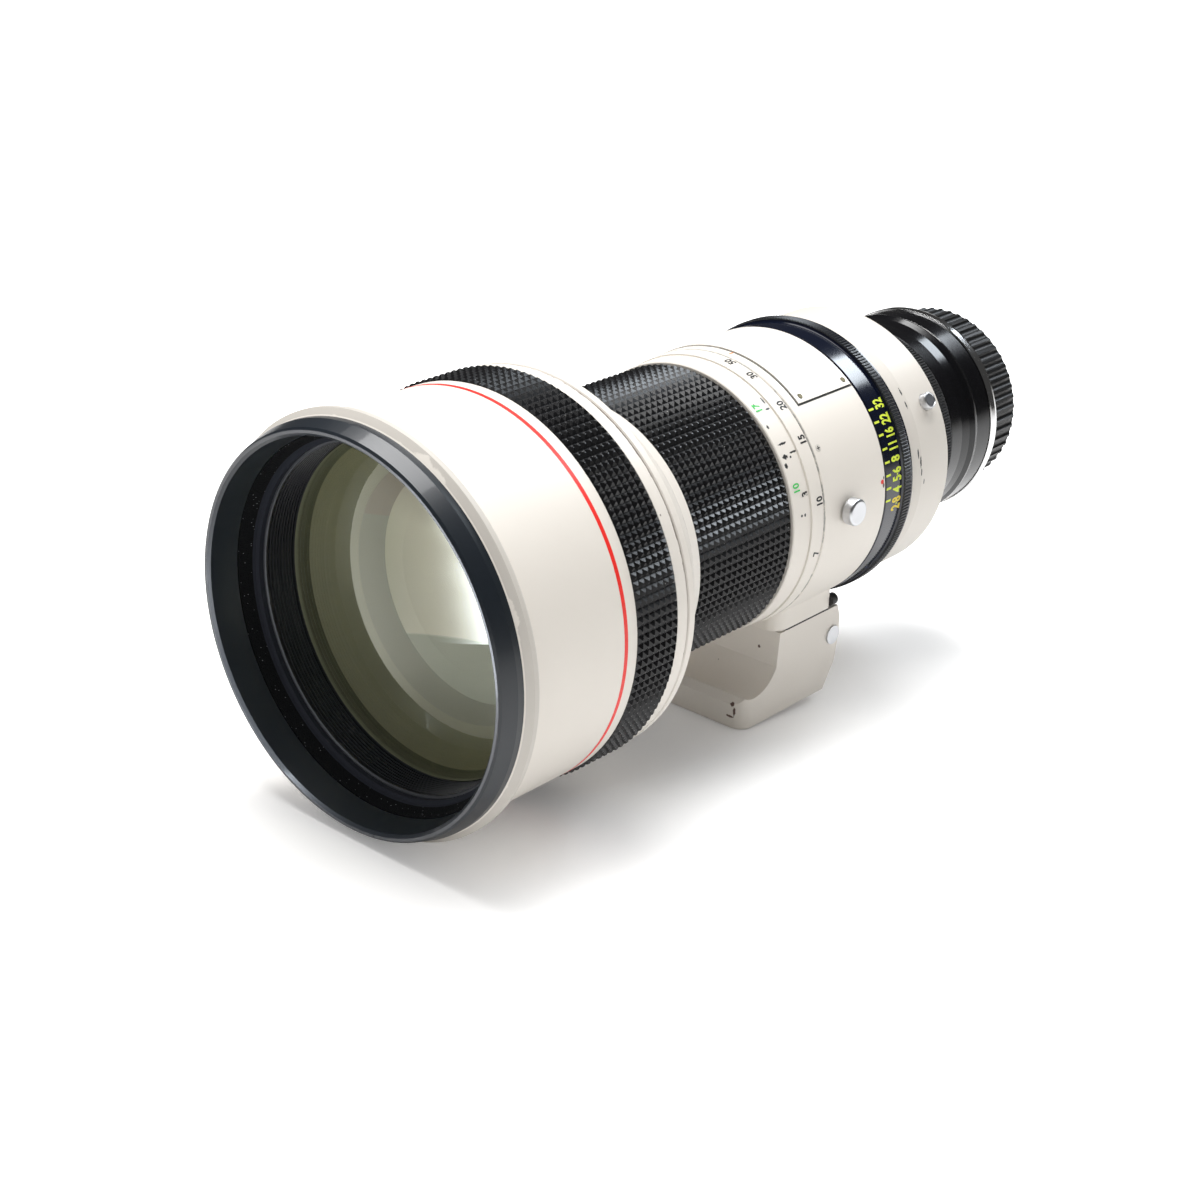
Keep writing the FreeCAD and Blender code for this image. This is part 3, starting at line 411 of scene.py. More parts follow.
def new_group(name, inputs, *outputs):
    """Empty shader group with named inputs and outputs, and the sockets of its two end nodes."""
    group = bpy.data.node_groups.new(name, "ShaderNodeTree")
    for label, value in inputs.items():
        socket = group.interface.new_socket(label, in_out="INPUT", socket_type="NodeSocketFloat")
        socket.default_value = value
    for label in outputs:
        group.interface.new_socket(label, in_out="OUTPUT", socket_type="NodeSocketFloat")
    entry = group.nodes.new("NodeGroupInput")
    leave = group.nodes.new("NodeGroupOutput")
    return group, entry.outputs, leave.inputs


def use_group(tree, name, **sockets):
    """Outputs of a shader group placed in a tree."""
    return add_node(tree, "Group", settings=[("node_tree", bpy.data.node_groups[name])], **sockets).outputs


def make_grain_group():
    """Grain: fine noise as a height and slow noise as a mask."""
    group, entry, leave = new_group("Grain", {"Scale": 1500.0, "Slow Scale": 40.0}, "Height", "Variation")
    group.links.new(noise(group, entry["Scale"], 3.0), leave["Height"])
    group.links.new(noise(group, entry["Slow Scale"], 5.0), leave["Variation"])


def make_worn_line_group():
    """Broken line round the lens: near a place along the axis, where noise is above a threshold."""
    group, entry, leave = new_group(
        "Worn Line", {"Place": 0.0, "Width": 0.0004, "Cover": 0.5, "Scale": 300.0}, "Mask")
    fine_push = 2.4
    patch_push = 3.0
    patch_scale = 45.0
    sharpness = 5.0
    farthest = -0.6
    off = calc(group, "ABSOLUTE", calc(group, "SUBTRACT", axes(group)["Y"], entry["Place"]))
    near = calc(group, "SUBTRACT", 1.0, calc(group, "DIVIDE", off, entry["Width"]))
    fine = calc(group, "SUBTRACT", noise(group, entry["Scale"], 4.0, 0.65), 0.5)
    patches = calc(group, "SUBTRACT", noise(group, patch_scale, 3.0), 0.5)
    push = calc(group, "MULTIPLY_ADD", fine, fine_push, calc(group, "MULTIPLY", patches, patch_push))
    cut = calc(group, "SUBTRACT", 1.0, entry["Cover"])
    soft = calc(group, "MULTIPLY", calc(group, "SUBTRACT", calc(group, "ADD", near, push), cut), sharpness)
    inside = calc(group, "GREATER_THAN", near, farthest)
    group.links.new(clamped(group, calc(group, "MULTIPLY", soft, inside)), leave["Mask"])


def make_speck_group():
    """Small specks: cells whose random value is high, cut to a small disc round their middle."""
    group, entry, leave = new_group("Specks", {"Scale": 900.0, "Amount": 0.1, "Size": 0.25}, "Mask")
    cells = add_node(group, "TexVoronoi", Vector=object_place(group), Scale=entry["Scale"]).outputs
    chance = add_node(group, "SeparateColor", cells["Color"]).outputs[0]
    chosen = calc(group, "LESS_THAN", chance, entry["Amount"])
    small = calc(group, "LESS_THAN", cells["Distance"], entry["Size"])
    group.links.new(calc(group, "MULTIPLY", chosen, small), leave["Mask"])


def new_shader(name, **sockets):
    """Material with one Principled shader; plain numbers and colours go on its own sockets."""
    material = bpy.data.materials.new(name)
    material.use_nodes = True
    tree = material.node_tree
    shader = tree.nodes["Principled BSDF"]
    for key, value in sockets.items():
        feed(tree, shader.inputs[key.replace("_", " ")], value)
    return material, tree, shader


def vary(tree, shader, rough, colour, shade, scale, bump, distance=0.04 * MM):
    """Colour that slowly changes to a shade of itself; roughness between two values and a fine
    bump come from the same grain."""
    grain = use_group(tree, "Grain", Scale=scale, Slow_Scale=35.0)
    spread = grain["Variation"]
    tree.links.new(ramp(tree, spread, 0.0, 1.0, *rough), shader.inputs["Roughness"])
    base = blend_colour(tree, spread, colour, shaded(colour, shade))
    tree.links.new(base, shader.inputs["Base Color"])
    height = add_node(tree, "Bump", Height=grain["Height"], Strength=bump, Distance=distance)
    tree.links.new(height.outputs[0], shader.inputs["Normal"])
    return base


def worn_lines(tree, base, lines):
    """Colour with broken lines, each with place, width, cover, scale and tone."""
    for place, width, cover, scale, tone in lines:
        mask = use_group(tree, "Worn Line", Place=place * MM, Width=width * MM, Cover=cover,
                         Scale=scale)[0]
        base = blend_colour(tree, mask, base, tone)
    return base


def specked(tree, base, tone, scale, amount, size):
    """Colour with small specks of a tone."""
    mask = use_group(tree, "Specks", Scale=scale, Amount=amount, Size=size)[0]
    return blend_colour(tree, mask, base, tone)


def enamel(name, colour, lines=(), marks=(), specks=0.002, rough=(0.36, 0.5)):
    """Off-white enamel with broken lines at worn joints, a band on the hood's bead that is partly wear and
    partly painted shade, chips at given spots and a few specks.
    """
    material, tree, shader = new_shader(name, Coat_Weight=0.15, Coat_Roughness=0.35)
    base = worn_lines(tree, vary(tree, shader, rough, colour, 0.96, 1400.0, 0.2), lines)
    for centre, size, tone in marks:
        base = blend_colour(tree, chip(tree, np.array(centre), np.array(size)), base, tone)
    base = specked(tree, base, (0.25, 0.22, 0.20), 520.0, specks, 0.16)
    tree.links.new(base, shader.inputs["Base Color"])
    return material


def chip(tree, centre, size):
    """Mask of one worn spot with its centre and half sizes in mm: where the distance from the
    centre in half sizes, roughened by noise, is below a limit."""
    limit = 1.7
    ragged = 1.4
    sharpness = 4.0
    away = scaled_distance(tree, 1 / (size * MM), -centre / size)
    edge = calc(tree, "MULTIPLY_ADD", noise(tree, 1500.0, 4.0), ragged, away)
    return clamped(tree, calc(tree, "MULTIPLY", calc(tree, "SUBTRACT", limit, edge), sharpness))


def on_tube(place, angle, radius):
    """Point in mm on a tube round the optical axis, at an angle in degrees from the top."""
    a = math.radians(angle)
    return (radius * math.sin(a), place, radius * math.cos(a))


def black_finish(name, colour, rough=(0.28, 0.42), bump=0.2, coat=0.0, scale=1600.0, lines=(), shine=0.5):
    """Black enamel or anodising, with lighter broken lines where edges are rubbed."""
    material, tree, shader = new_shader(name, Coat_Weight=coat, Coat_Roughness=0.06,
                                        Specular_IOR_Level=shine)
    base = worn_lines(tree, vary(tree, shader, rough, colour, 0.8, scale, bump), lines)
    tree.links.new(base, shader.inputs["Base Color"])
    return material


def metal_finish(name, colour, rough=(0.2, 0.35), bump=0.1):
    """Bare or plated metal with fine marks."""
    material, tree, shader = new_shader(name, Metallic=1.0)
    vary(tree, shader, rough, colour, 0.85, 900.0, bump)
    return material


def plain_paint(name, colour, rough=0.5):
    """Filled paint of numerals and marks, slightly uneven."""
    material, tree, shader = new_shader(name)
    vary(tree, shader, (rough - 0.08, rough + 0.08), colour, 0.85, 2400.0, 0.1)
    return material


def rubber_finish():
    """Moulded rubber with pale dust in places."""
    material, tree, shader = new_shader("Moulded Rubber", Specular_IOR_Level=0.45)
    base = vary(tree, shader, (0.20, 0.34), colours().rubber, 0.7, 2600.0, 0.15)
    base = specked(tree, base, (0.25, 0.25, 0.24), 1100.0, 0.012, 0.2)
    tree.links.new(base, shader.inputs["Base Color"])
    return material


def flock_finish(name, amount, limit):
    """Black flock with strong fine bump and pale dust specks; behind a limit along the axis it
    gives way to smooth blue-black paint."""
    material, tree, shader = new_shader(name, Roughness=0.95, Specular_IOR_Level=0.1)
    base = vary(tree, shader, (0.85, 1.0), (0.0035, 0.004, 0.0045), 0.6, 2200.0, 1.0, 0.4 * MM)
    base = specked(tree, base, (0.11, 0.115, 0.12), 1500.0, amount, 0.26)
    behind = calc(tree, "GREATER_THAN", axes(tree)["Y"], limit)
    tree.links.new(blend_colour(tree, behind, base, (0.018, 0.020, 0.027)), shader.inputs["Base Color"])
    bump = shader.inputs["Normal"].links[0].from_node
    tree.links.new(calc(tree, "SUBTRACT", 1.0, behind), bump.inputs["Strength"])
    return material


def coated_glass(tint):
    """Clear glass with a tinted mirror film: what is behind shows through, and the film's share of
    mirrored light grows towards the edge of sight; dust sits on it as pale specks."""
    material, tree, dust = new_shader("Front Coating", Base_Color=(0.30, 0.30, 0.28), Roughness=0.7)
    clear = add_node(tree, "BsdfTransparent", Color=(0.96, 0.965, 0.95))
    film = add_node(tree, "BsdfGlossy", Color=tint, Roughness=0.015)
    strength = 1.8
    mirrored = calc(tree, "MULTIPLY", add_node(tree, "Fresnel", IOR=1.6).outputs[0], strength)
    outside = calc(tree, "SUBTRACT", 1.0, add_node(tree, "NewGeometry").outputs["Backfacing"])
    polished = mix_shaders(tree, calc(tree, "MULTIPLY", mirrored, outside), clear, film)
    specks = use_group(tree, "Specks", Scale=300.0, Amount=0.02, Size=0.045)[0]
    dusty = mix_shaders(tree, specks, polished, dust)
    tree.links.new(dusty.outputs[0], tree.nodes["Material Output"].inputs["Surface"])
    return material


def inner_glass(tint):
    """Coated glass inside: clear body, tinted reflections; shadow rays pass straight through."""
    material, tree, shader = new_shader("Inner Glass", Transmission_Weight=1.0, Roughness=0.0, IOR=1.6,
                                        Base_Color=(0.97, 0.98, 0.95), Specular_Tint=tint)
    clear = add_node(tree, "BsdfTransparent", Color=(0.93, 0.94, 0.92))
    shadow = add_node(tree, "LightPath").outputs["Is Shadow Ray"]
    mixed = mix_shaders(tree, shadow, shader, clear)
    tree.links.new(mixed.outputs[0], tree.nodes["Material Output"].inputs["Surface"])
    return material


def dress(material, *nodes):
    """Give solid nodes a material."""
    for name in nodes:
        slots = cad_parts[name].data.materials
        if len(slots) == 0:
            slots.append(material)
        for k in range(len(slots)):
            slots[k] = material


class LensOperator:
    """Shared settings of the operators below."""
    bl_options = {"REGISTER", "UNDO"}


class LENS_OT_effects(LensOperator, bpy.types.Operator):
    """Make the shader groups that the finishes share"""
    bl_idname = "lens.effects"
    bl_label = "Shared effects"

    def execute(self, context):
        make_grain_group()
        make_worn_line_group()
        make_speck_group()
        return {"FINISHED"}


class LENS_OT_enamel(LensOperator, bpy.types.Operator):
    """Paint the white castings and tubes"""
    bl_idname = "lens.enamel"
    bl_label = "White enamel"

    # Broken lines: place, half width, cover, scale of the breaks and tone
    hood_lines = [(-229.7, 0.4, 0.3, 260.0, (0.40, 0.38, 0.39)),
                  (-166.9, 0.45, 1.1, 420.0, (0.17, 0.11, 0.09))]
    shoulder_lines = [(-163.5, 0.18, 0.35, 420.0, (0.30, 0.19, 0.15)),
                      (-149.35, 0.3, 1.2, 500.0, (0.10, 0.09, 0.09))]
    collar_lines = [(-82.5, 0.2, 0.5, 500.0, GREY), (-50.0, 0.3, 0.3, 500.0, GREY)]
    # Worn spots round a ring: place, angle and half sizes
    scale_spots = ((-93.6, 52.0, (0.4, 2.0, 0.5)), (-94.9, 57.2, (0.7, 1.3, 1.0)),
                   (-95.8, 60.5, (0.7, 0.7, 1.3)), (-90.6, 56.5, (0.3, 2.0, 0.4)),
                   (-92.6, 58.0, (0.4, 0.5, 0.4)), (-95.6, 44.0, (0.8, 0.5, 0.8)),
                   (-91.9, 81.8, (0.6, 0.5, 0.5)), (-93.5, 81.7, (0.6, 0.5, 0.5)),
                   (-94.6, 33.5, (0.6, 0.5, 0.6)), (-90.0, 33.0, (1.5, 0.5, 1.5)),
                   (-90.6, 37.0, (0.5, 1.0, 0.5)))
    index_dirt = ((-51.0, 83.4, (0.5, 0.5, 1.0)), (-50.8, 80.4, (0.5, 0.4, 0.6)))
    rear_spots = ((-29.4, 50.5, (1.4, 0.3, 1.7)), (-29.6, 56.4, (1.0, 0.3, 1.8)),
                  (-29.8, 76.5, (0.5, 0.35, 3.0)), (-28.9, 81.0, (0.5, 0.4, 2.4)),
                  (-28.6, 85.5, (0.5, 0.3, 1.4)), (-27.0, 90.0, (0.5, 0.3, 0.9)))
    # Chips near the foot's toe: centre and half sizes
    toe_chips = (((23.5, -95.1, -65.8), (0.9, 0.8, 0.9)), ((24.3, -95.0, -68.4), (0.5, 0.6, 1.5)),
                 ((22.6, -95.2, -70.4), (1.6, 0.6, 0.5)), ((20.1, -77.8, -51.7), (0.6, 0.6, 0.6)))

    def execute(self, context):
        white = colours().enamel
        stain = colours().stain
        bead_chip = [(on_tube(-231.6, -20.0, 63.0), (2.2, 0.6, 2.2), stain)]
        # Grey band on the hood's bead: partly rubbed wear, partly painted shade of the cove behind the bead
        bead_wear_and_painted_shade = (-232.5, 1.6, 2.0, 150.0, shaded(white, 0.73))
        hood = enamel("Hood Enamel", white, [bead_wear_and_painted_shade] + self.hood_lines, bead_chip)
        self.black_inside(hood, reach("hood_felt_rings")[2] + 0.3 * MM)
        dress(hood, "hood_tube")
        dress(enamel("Shoulder Enamel", white, self.shoulder_lines), "shoulder_housing", "shoulder_ring")
        dress(enamel("Scale Enamel", white,
                     marks=self.marks(self.scale_spots, SCALE_RADIUS, (0.02, 0.02, 0.02))), "distance_ring")
        dress(enamel("Collar Enamel", white, self.collar_lines,
                     self.marks(self.index_dirt, COLLAR_RADIUS, stain)), "collar")
        dress(enamel("Rear Enamel", shaded(white, 0.87), [(-12.8, 0.2, 0.4, 500.0, GREY)],
                     self.marks(self.rear_spots, REAR_RADIUS, (0.05, 0.05, 0.05))),
              "rear_barrel", "filter_holder")
        toe_chips = [(place, size, stain) for place, size in self.toe_chips]
        dress(enamel("Foot Enamel", shaded(white, 0.95), marks=toe_chips, specks=0.006), "foot")
        dress(enamel("Plate Enamel", shaded(white, 1.1), specks=0.001, rough=(0.25, 0.36)), "nameplate")
        return {"FINISHED"}

    def black_inside(self, material, radius):
        """Flat black nearer to the optical axis than a radius, as on the inside of a hood."""
        tree = material.node_tree
        socket = tree.nodes["Principled BSDF"].inputs["Base Color"]
        x, _, z = axes(tree)
        away = calc(tree, "SQRT", calc(tree, "MULTIPLY_ADD", x, x, calc(tree, "MULTIPLY", z, z)))
        inner = calc(tree, "LESS_THAN", away, radius)
        base = blend_colour(tree, inner, socket.links[0].from_socket, (0.006, 0.007, 0.008))
        tree.links.new(base, socket)

    def marks(self, spots, radius, tone):
        """Worn spots of a tone on a ring's radius."""
        return [(on_tube(place, angle, radius / MM), size, tone) for place, angle, size in spots]


class LENS_OT_front(LensOperator, bpy.types.Operator):
    """Finish the rim, the flocked ring, the ribbed wall and the inner barrel"""
    bl_idname = "lens.front"
    bl_label = "Front rim and inside"

    def execute(self, context):
        rubbed_edge = [(-243.0, 0.12, 0.8, 300.0, (0.07, 0.075, 0.085))]
        dress(black_finish("Rim Enamel", colours().rim, (0.3, 0.42), bump=0.1, coat=0.25, scale=1300.0,
                           lines=rubbed_edge), "front_rim")
        front, rear, _ = reach("flocked_ring")
        flocked_share = 0.55
        dress(flock_finish("Flock", 0.09, front + flocked_share * (rear - front)), "flocked_ring")
        dress(flock_finish("Felt", 0.03, 1.0), "hood_felt_rings")
        dress(black_finish("Inner Anodising", BLACK, (0.4, 0.6), 0.0, shine=0.25), "inner_barrel",
              "light_baffle", "front_cell", "cell_retaining_ring")
        self.ribbed_wall()
        return {"FINISHED"}

    def ribbed_wall(self):
        """Retaining ring in front of the glass: a bright thin lip and turned ribs behind it."""
        front, rear, outer = reach("front_retaining_ring")
        bore = 52.05 * MM
        groove = bore + 0.45 * MM
        lip = 0.35 * MM
        ribs = 9
        step = (rear - front - 1.2 * MM) / ribs
        profile = [(front, outer), (front, bore + lip), (front + lip, bore)]
        for k in range(ribs):
            start = front + 0.9 * MM + k * step
            profile += [(start, bore), (start + 0.15 * step, groove), (start + 0.75 * step, groove),
                        (start + 0.9 * step, bore)]
        profile += [(rear, bore), (rear, outer)]
        bright_lip = [(front / MM, 0.3, 1.4, 200.0, (0.05, 0.053, 0.06))]
        material = black_finish("Turned Black", BLACK, (0.3, 0.42), bump=0.0, scale=1500.0,
                                lines=bright_lip, shine=0.3)
        piece = place_mesh("retaining_ring_ribs", turned(profile), "root", material)
        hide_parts("front_retaining_ring")


class LENS_OT_glass(LensOperator, bpy.types.Operator):
    """Polish the front element and the coated faces that are seen behind it"""
    bl_idname = "lens.glass"
    bl_label = "Glass"

    # Coated faces: name, line of place and radius in mm, and tone; the tones are painted reflection of the
    # coatings, with painted shade from the barrel
    steps = (("edge", [(-215.4, 51.6), (-211.0, 50.0)], (0.13, 0.135, 0.085)),
             ("outer_face", [(-211.0, 50.0), (-200.0, 40.3)], (0.26, 0.255, 0.155)),
             ("middle_face", [(-200.0, 40.3), (-193.0, 36.3)], (0.185, 0.19, 0.12)),
             ("inner_face", [(-193.0, 36.3), (-191.6, 30.0), (-190.6, 20.0), (-190.0, ON_AXIS / MM)],
              (0.41, 0.39, 0.24)))

    def execute(self, context):
        coating = colours().coating
        piece = place_mesh("polished_front_element", self.front_element(), "root",
                           coated_glass(coating), merge=True)
        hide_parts("front_element")
        for name, face, tone in self.steps:
            self.step(name, face, tone)
        dress(inner_glass(coating), "focus_element_front", "focus_element_rear", "rear_element_front",
              "rear_element_back", "filter_glass")
        return {"FINISHED"}

    def painted_room_reflection(self, tree, base):
        """Painted reflection on the innermost face: a painted highlight that makes it paler towards the
        near side, dull green below a sharp line and brown near the top, where the coating mirrors table and
        room."""
        x, _, z = axes(tree)
        base = blend_colour(tree, ramp(tree, x, -36 * MM, -6 * MM), base, (0.86, 0.81, 0.66))
        base = blend_colour(tree, ramp(tree, z, 12 * MM, 24 * MM), base, (0.33, 0.29, 0.20))
        slanted = calc(tree, "MULTIPLY_ADD", x, -0.214, z)
        return blend_colour(tree, ramp(tree, slanted, -17.8 * MM, -18.4 * MM), base, (0.26, 0.28, 0.20))

    def painted_brown_horizon(self, tree, base):
        """Painted reflection on a face: a brown upper part, below which the coating mirrors the table."""
        x, _, z = axes(tree)
        slanted = calc(tree, "MULTIPLY_ADD", x, 0.55, z)
        return blend_colour(tree, ramp(tree, slanted, -6.6 * MM, -6.0 * MM), base, (0.18, 0.135, 0.085))

    def front_element(self, rings=24):
        """Spherical front face, bevelled edge and slightly hollow back face; a face's depth is its
        curve's radius less the root of its square less the square of the distance from the axis."""
        radius = 53.2 * MM
        curve = 190.0 * MM
        vertex = -222.0 * MM
        back = -212.6 * MM
        r = np.linspace(ON_AXIS, radius, rings)
        front = vertex + curve - np.sqrt(curve ** 2 - r ** 2)
        return turned([*zip(front, r), (back, radius), (back, ON_AXIS)], 160)

    def step(self, name, face, tone):
        """One coated face: a thin turned shell behind a line of (y, radius) pairs, whose tone is painted
        reflection and painted shade.
        """
        thick = 0.25
        profile = face + [(y + thick, r) for y, r in reversed(face)]
        material, tree, shader = new_shader("Coated " + name.replace("_", " "), Roughness=0.45,
                                            Metallic=0.05, Specular_IOR_Level=0.3)
        slow = use_group(tree, "Grain", Scale=900.0, Slow_Scale=22.0)["Variation"]
        base = blend_colour(tree, slow, tone, shaded(tone, 0.8))
        if name == "inner_face":
            base = self.painted_room_reflection(tree, base)
        if name == "middle_face":
            base = self.painted_brown_horizon(tree, base)
        tree.links.new(base, shader.inputs["Base Color"])
        piece = place_mesh("coated_" + name, turned(np.array(profile) * MM), "root", material,
                           smooth=False, merge=True)
        if name == "middle_face":
            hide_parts("second_element")
        if name == "inner_face":
            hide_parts("third_element")


class LENS_OT_rubber(LensOperator, bpy.types.Operator):
    """Mould the pyramids of the two rubber bands"""
    bl_idname = "lens.rubber"
    bl_label = "Rubber bands"

    def execute(self, context):
        material = rubber_finish()
        self.band("focus_grip", GRIP_FRONT, GRIP_REAR, GRIP_RADIUS, 43.6 * MM, sizes().grip_teeth,
                  "focus_ring", "focus_rubber", material)
        self.band("hood_grip", HOOD_GRIP_FRONT, HOOD_GRIP_REAR, HOOD_GRIP_RADIUS, 59.6 * MM,
                  sizes().hood_grip_teeth, "hood", "hood_grip_rubber", material)
        return {"FINISHED"}

    def band(self, name, front, rear, outer, seat, teeth, body, node, material):
        """Rows of pyramids round a band, with sloped sides as wide along it as round it."""
        size = sizes()
        slope = (1 - size.grip_top) / 2
        rows = pyramid_rows(front, rear, size.grip_pitch, size.grip_top)
        shape = toothed_band(*rows, outer - size.grip_depth, size.grip_depth, teeth,
                             (slope, slope + size.grip_top), seat)
        piece = place_mesh(name, shape, body, material, smooth=False)
        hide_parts(node)


class LENS_OT_scales(LensOperator, bpy.types.Operator):
    """Cut and fill the distance and aperture scales"""
    bl_idname = "lens.scales"
    bl_label = "Scales"

    # Numerals with their angles, and the angles of dots and ticks
    first_stop = (("2", 95.3), ("8", 91.9))
    stops = (("4", 87.6), ("5", 82.9), ("6", 79.5), ("8", 74.7), ("11", 69.4), ("16", 63.8), ("22", 58.2),
             ("32", 51.6))
    dots = (93.6, 81.2)
    ticks = (91.0, 85.8, 80.4, 75.0, 69.5, 63.8, 58.4, 52.9)
    far_distances = (("7", 100.5), ("10", 78.3), ("15", 53.3), ("20", 37.9), ("30", 20.5), ("50", 9.2))
    near_distances = (("3", 73.6),)
    green_distances = (("10", 70.0), ("17", 34.8))

    def execute(self, context):
        self.aperture_scale()
        self.knurl()
        self.distance_scale()
        self.red_line()
        self.index_marks()
        return {"FINISHED"}

    def aperture_scale(self):
        """Painted numerals, decimal dots and ticks of the aperture ring."""
        yellow = plain_paint("Numeral Yellow", colours().numeral_yellow)
        orange = plain_paint("Numeral Orange", (0.85, 0.66, 0.06))
        dot = disc(APERTURE_RADIUS - 0.05 * MM, APERTURE_RADIUS + sizes().numeral_lift, 0.32 * MM)
        dots = [knob(APERTURE_ROW + 0.2 * MM, angle, dot, 16) for angle in self.dots]
        ticks = [patch(-49.4 * MM, -46.9 * MM, angle - 0.45, angle + 0.45, APERTURE_RADIUS)
                 for angle in self.ticks]
        for name, parts, paint in (("aperture_numerals", self.stop_texts(self.stops), yellow),
                                   ("aperture_first", self.stop_texts(self.first_stop), orange),
                                   ("aperture_dots", dots, yellow), ("aperture_ticks", ticks, yellow)):
            place_mesh(name, gathered(parts), "aperture", paint, smooth=False,
                       merge=name == "aperture_dots")
        dress(black_finish("Aperture Anodising", colours().scale_black, (0.12, 0.20), 0.03,
                           scale=1800.0, shine=0.8), "aperture_ring")

    def stop_texts(self, stops):
        """Aperture numerals; those of two figures are narrower."""
        return [numeral(stop, APERTURE_ROW, angle, APERTURE_RADIUS, sizes().aperture_numeral,
                        0.64 if len(stop) == 1 else 0.57, 0.035) for stop, angle in stops]

    def knurl(self):
        """Fine teeth round the aperture ring's lip."""
        size = sizes()
        rows = bevelled_rows(-40.55 * MM, -36.7 * MM, 0.25 * MM)
        shape = toothed_band(*rows, APERTURE_LIP - 0.05 * MM, size.knurl_depth, size.knurl_teeth,
                             KNURL_TOP, APERTURE_LIP - 0.3 * MM)
        material = black_finish("Knurl Anodising", (0.012, 0.013, 0.016), (0.28, 0.4), 0.1)
        place_mesh("aperture_knurl", shape, "aperture", material, smooth=False)

    def distance_scale(self):
        """Black numerals on both steps of the distance ring, and green ones in front of them."""
        black = plain_paint("Numeral Black", (0.012, 0.012, 0.014))
        green = plain_paint("Numeral Green", colours().numeral_green)
        blacks = (self.distance_texts(self.far_distances, -84.9 * MM, SCALE_STEP_RADIUS, 0.03)
                  + self.distance_texts(self.near_distances, -90.9 * MM, SCALE_RADIUS, 0.03))
        greens = self.distance_texts(self.green_distances, -94.3 * MM, SCALE_RADIUS - 0.05 * MM, 0.02)
        for name, parts, paint in (("distance_numerals", blacks, black),
                                   ("distance_numerals_green", greens, green)):
            place_mesh(name, gathered(parts), "focus_ring", paint, smooth=False)

    def distance_texts(self, entries, place, radius, bold):
        """Distance numerals in one row."""
        return [numeral(text, place, angle, radius, sizes().distance_numeral, 0.85, bold)
                for text, angle in entries]

    def red_line(self):
        """Thin red ring let into the hood."""
        half = sizes().red_line_width / 2
        place = sizes().red_line_place
        low = HOOD_RADIUS - 0.1 * MM
        high = HOOD_RADIUS + 0.03 * MM
        shape = turned([(place - half, low), (place - half, high), (place + half, high),
                        (place + half, low)], 256)
        paint = plain_paint("Red Line", colours().red_line, 0.4)
        place_mesh("red_line", shape, "hood", paint)

    def index_marks(self):
        """Red dot for the aperture scale and orange line for the distance scale."""
        red = plain_paint("Index Red", (0.8, 0.03, 0.02))
        orange = plain_paint("Index Orange", (0.85, 0.25, 0.04))
        dot = disc(COLLAR_RADIUS - 0.1 * MM, COLLAR_RADIUS + 0.1 * MM, 0.75 * MM)
        place_mesh("aperture_index", knob(-51.7 * MM, 81.8, dot, 24), "root", red,
                   merge=True)
        place_mesh("distance_index", patch(-80.6 * MM, -78.7 * MM, 4.2, 4.8, COLLAR_RADIUS), "root",
                   orange, smooth=False)


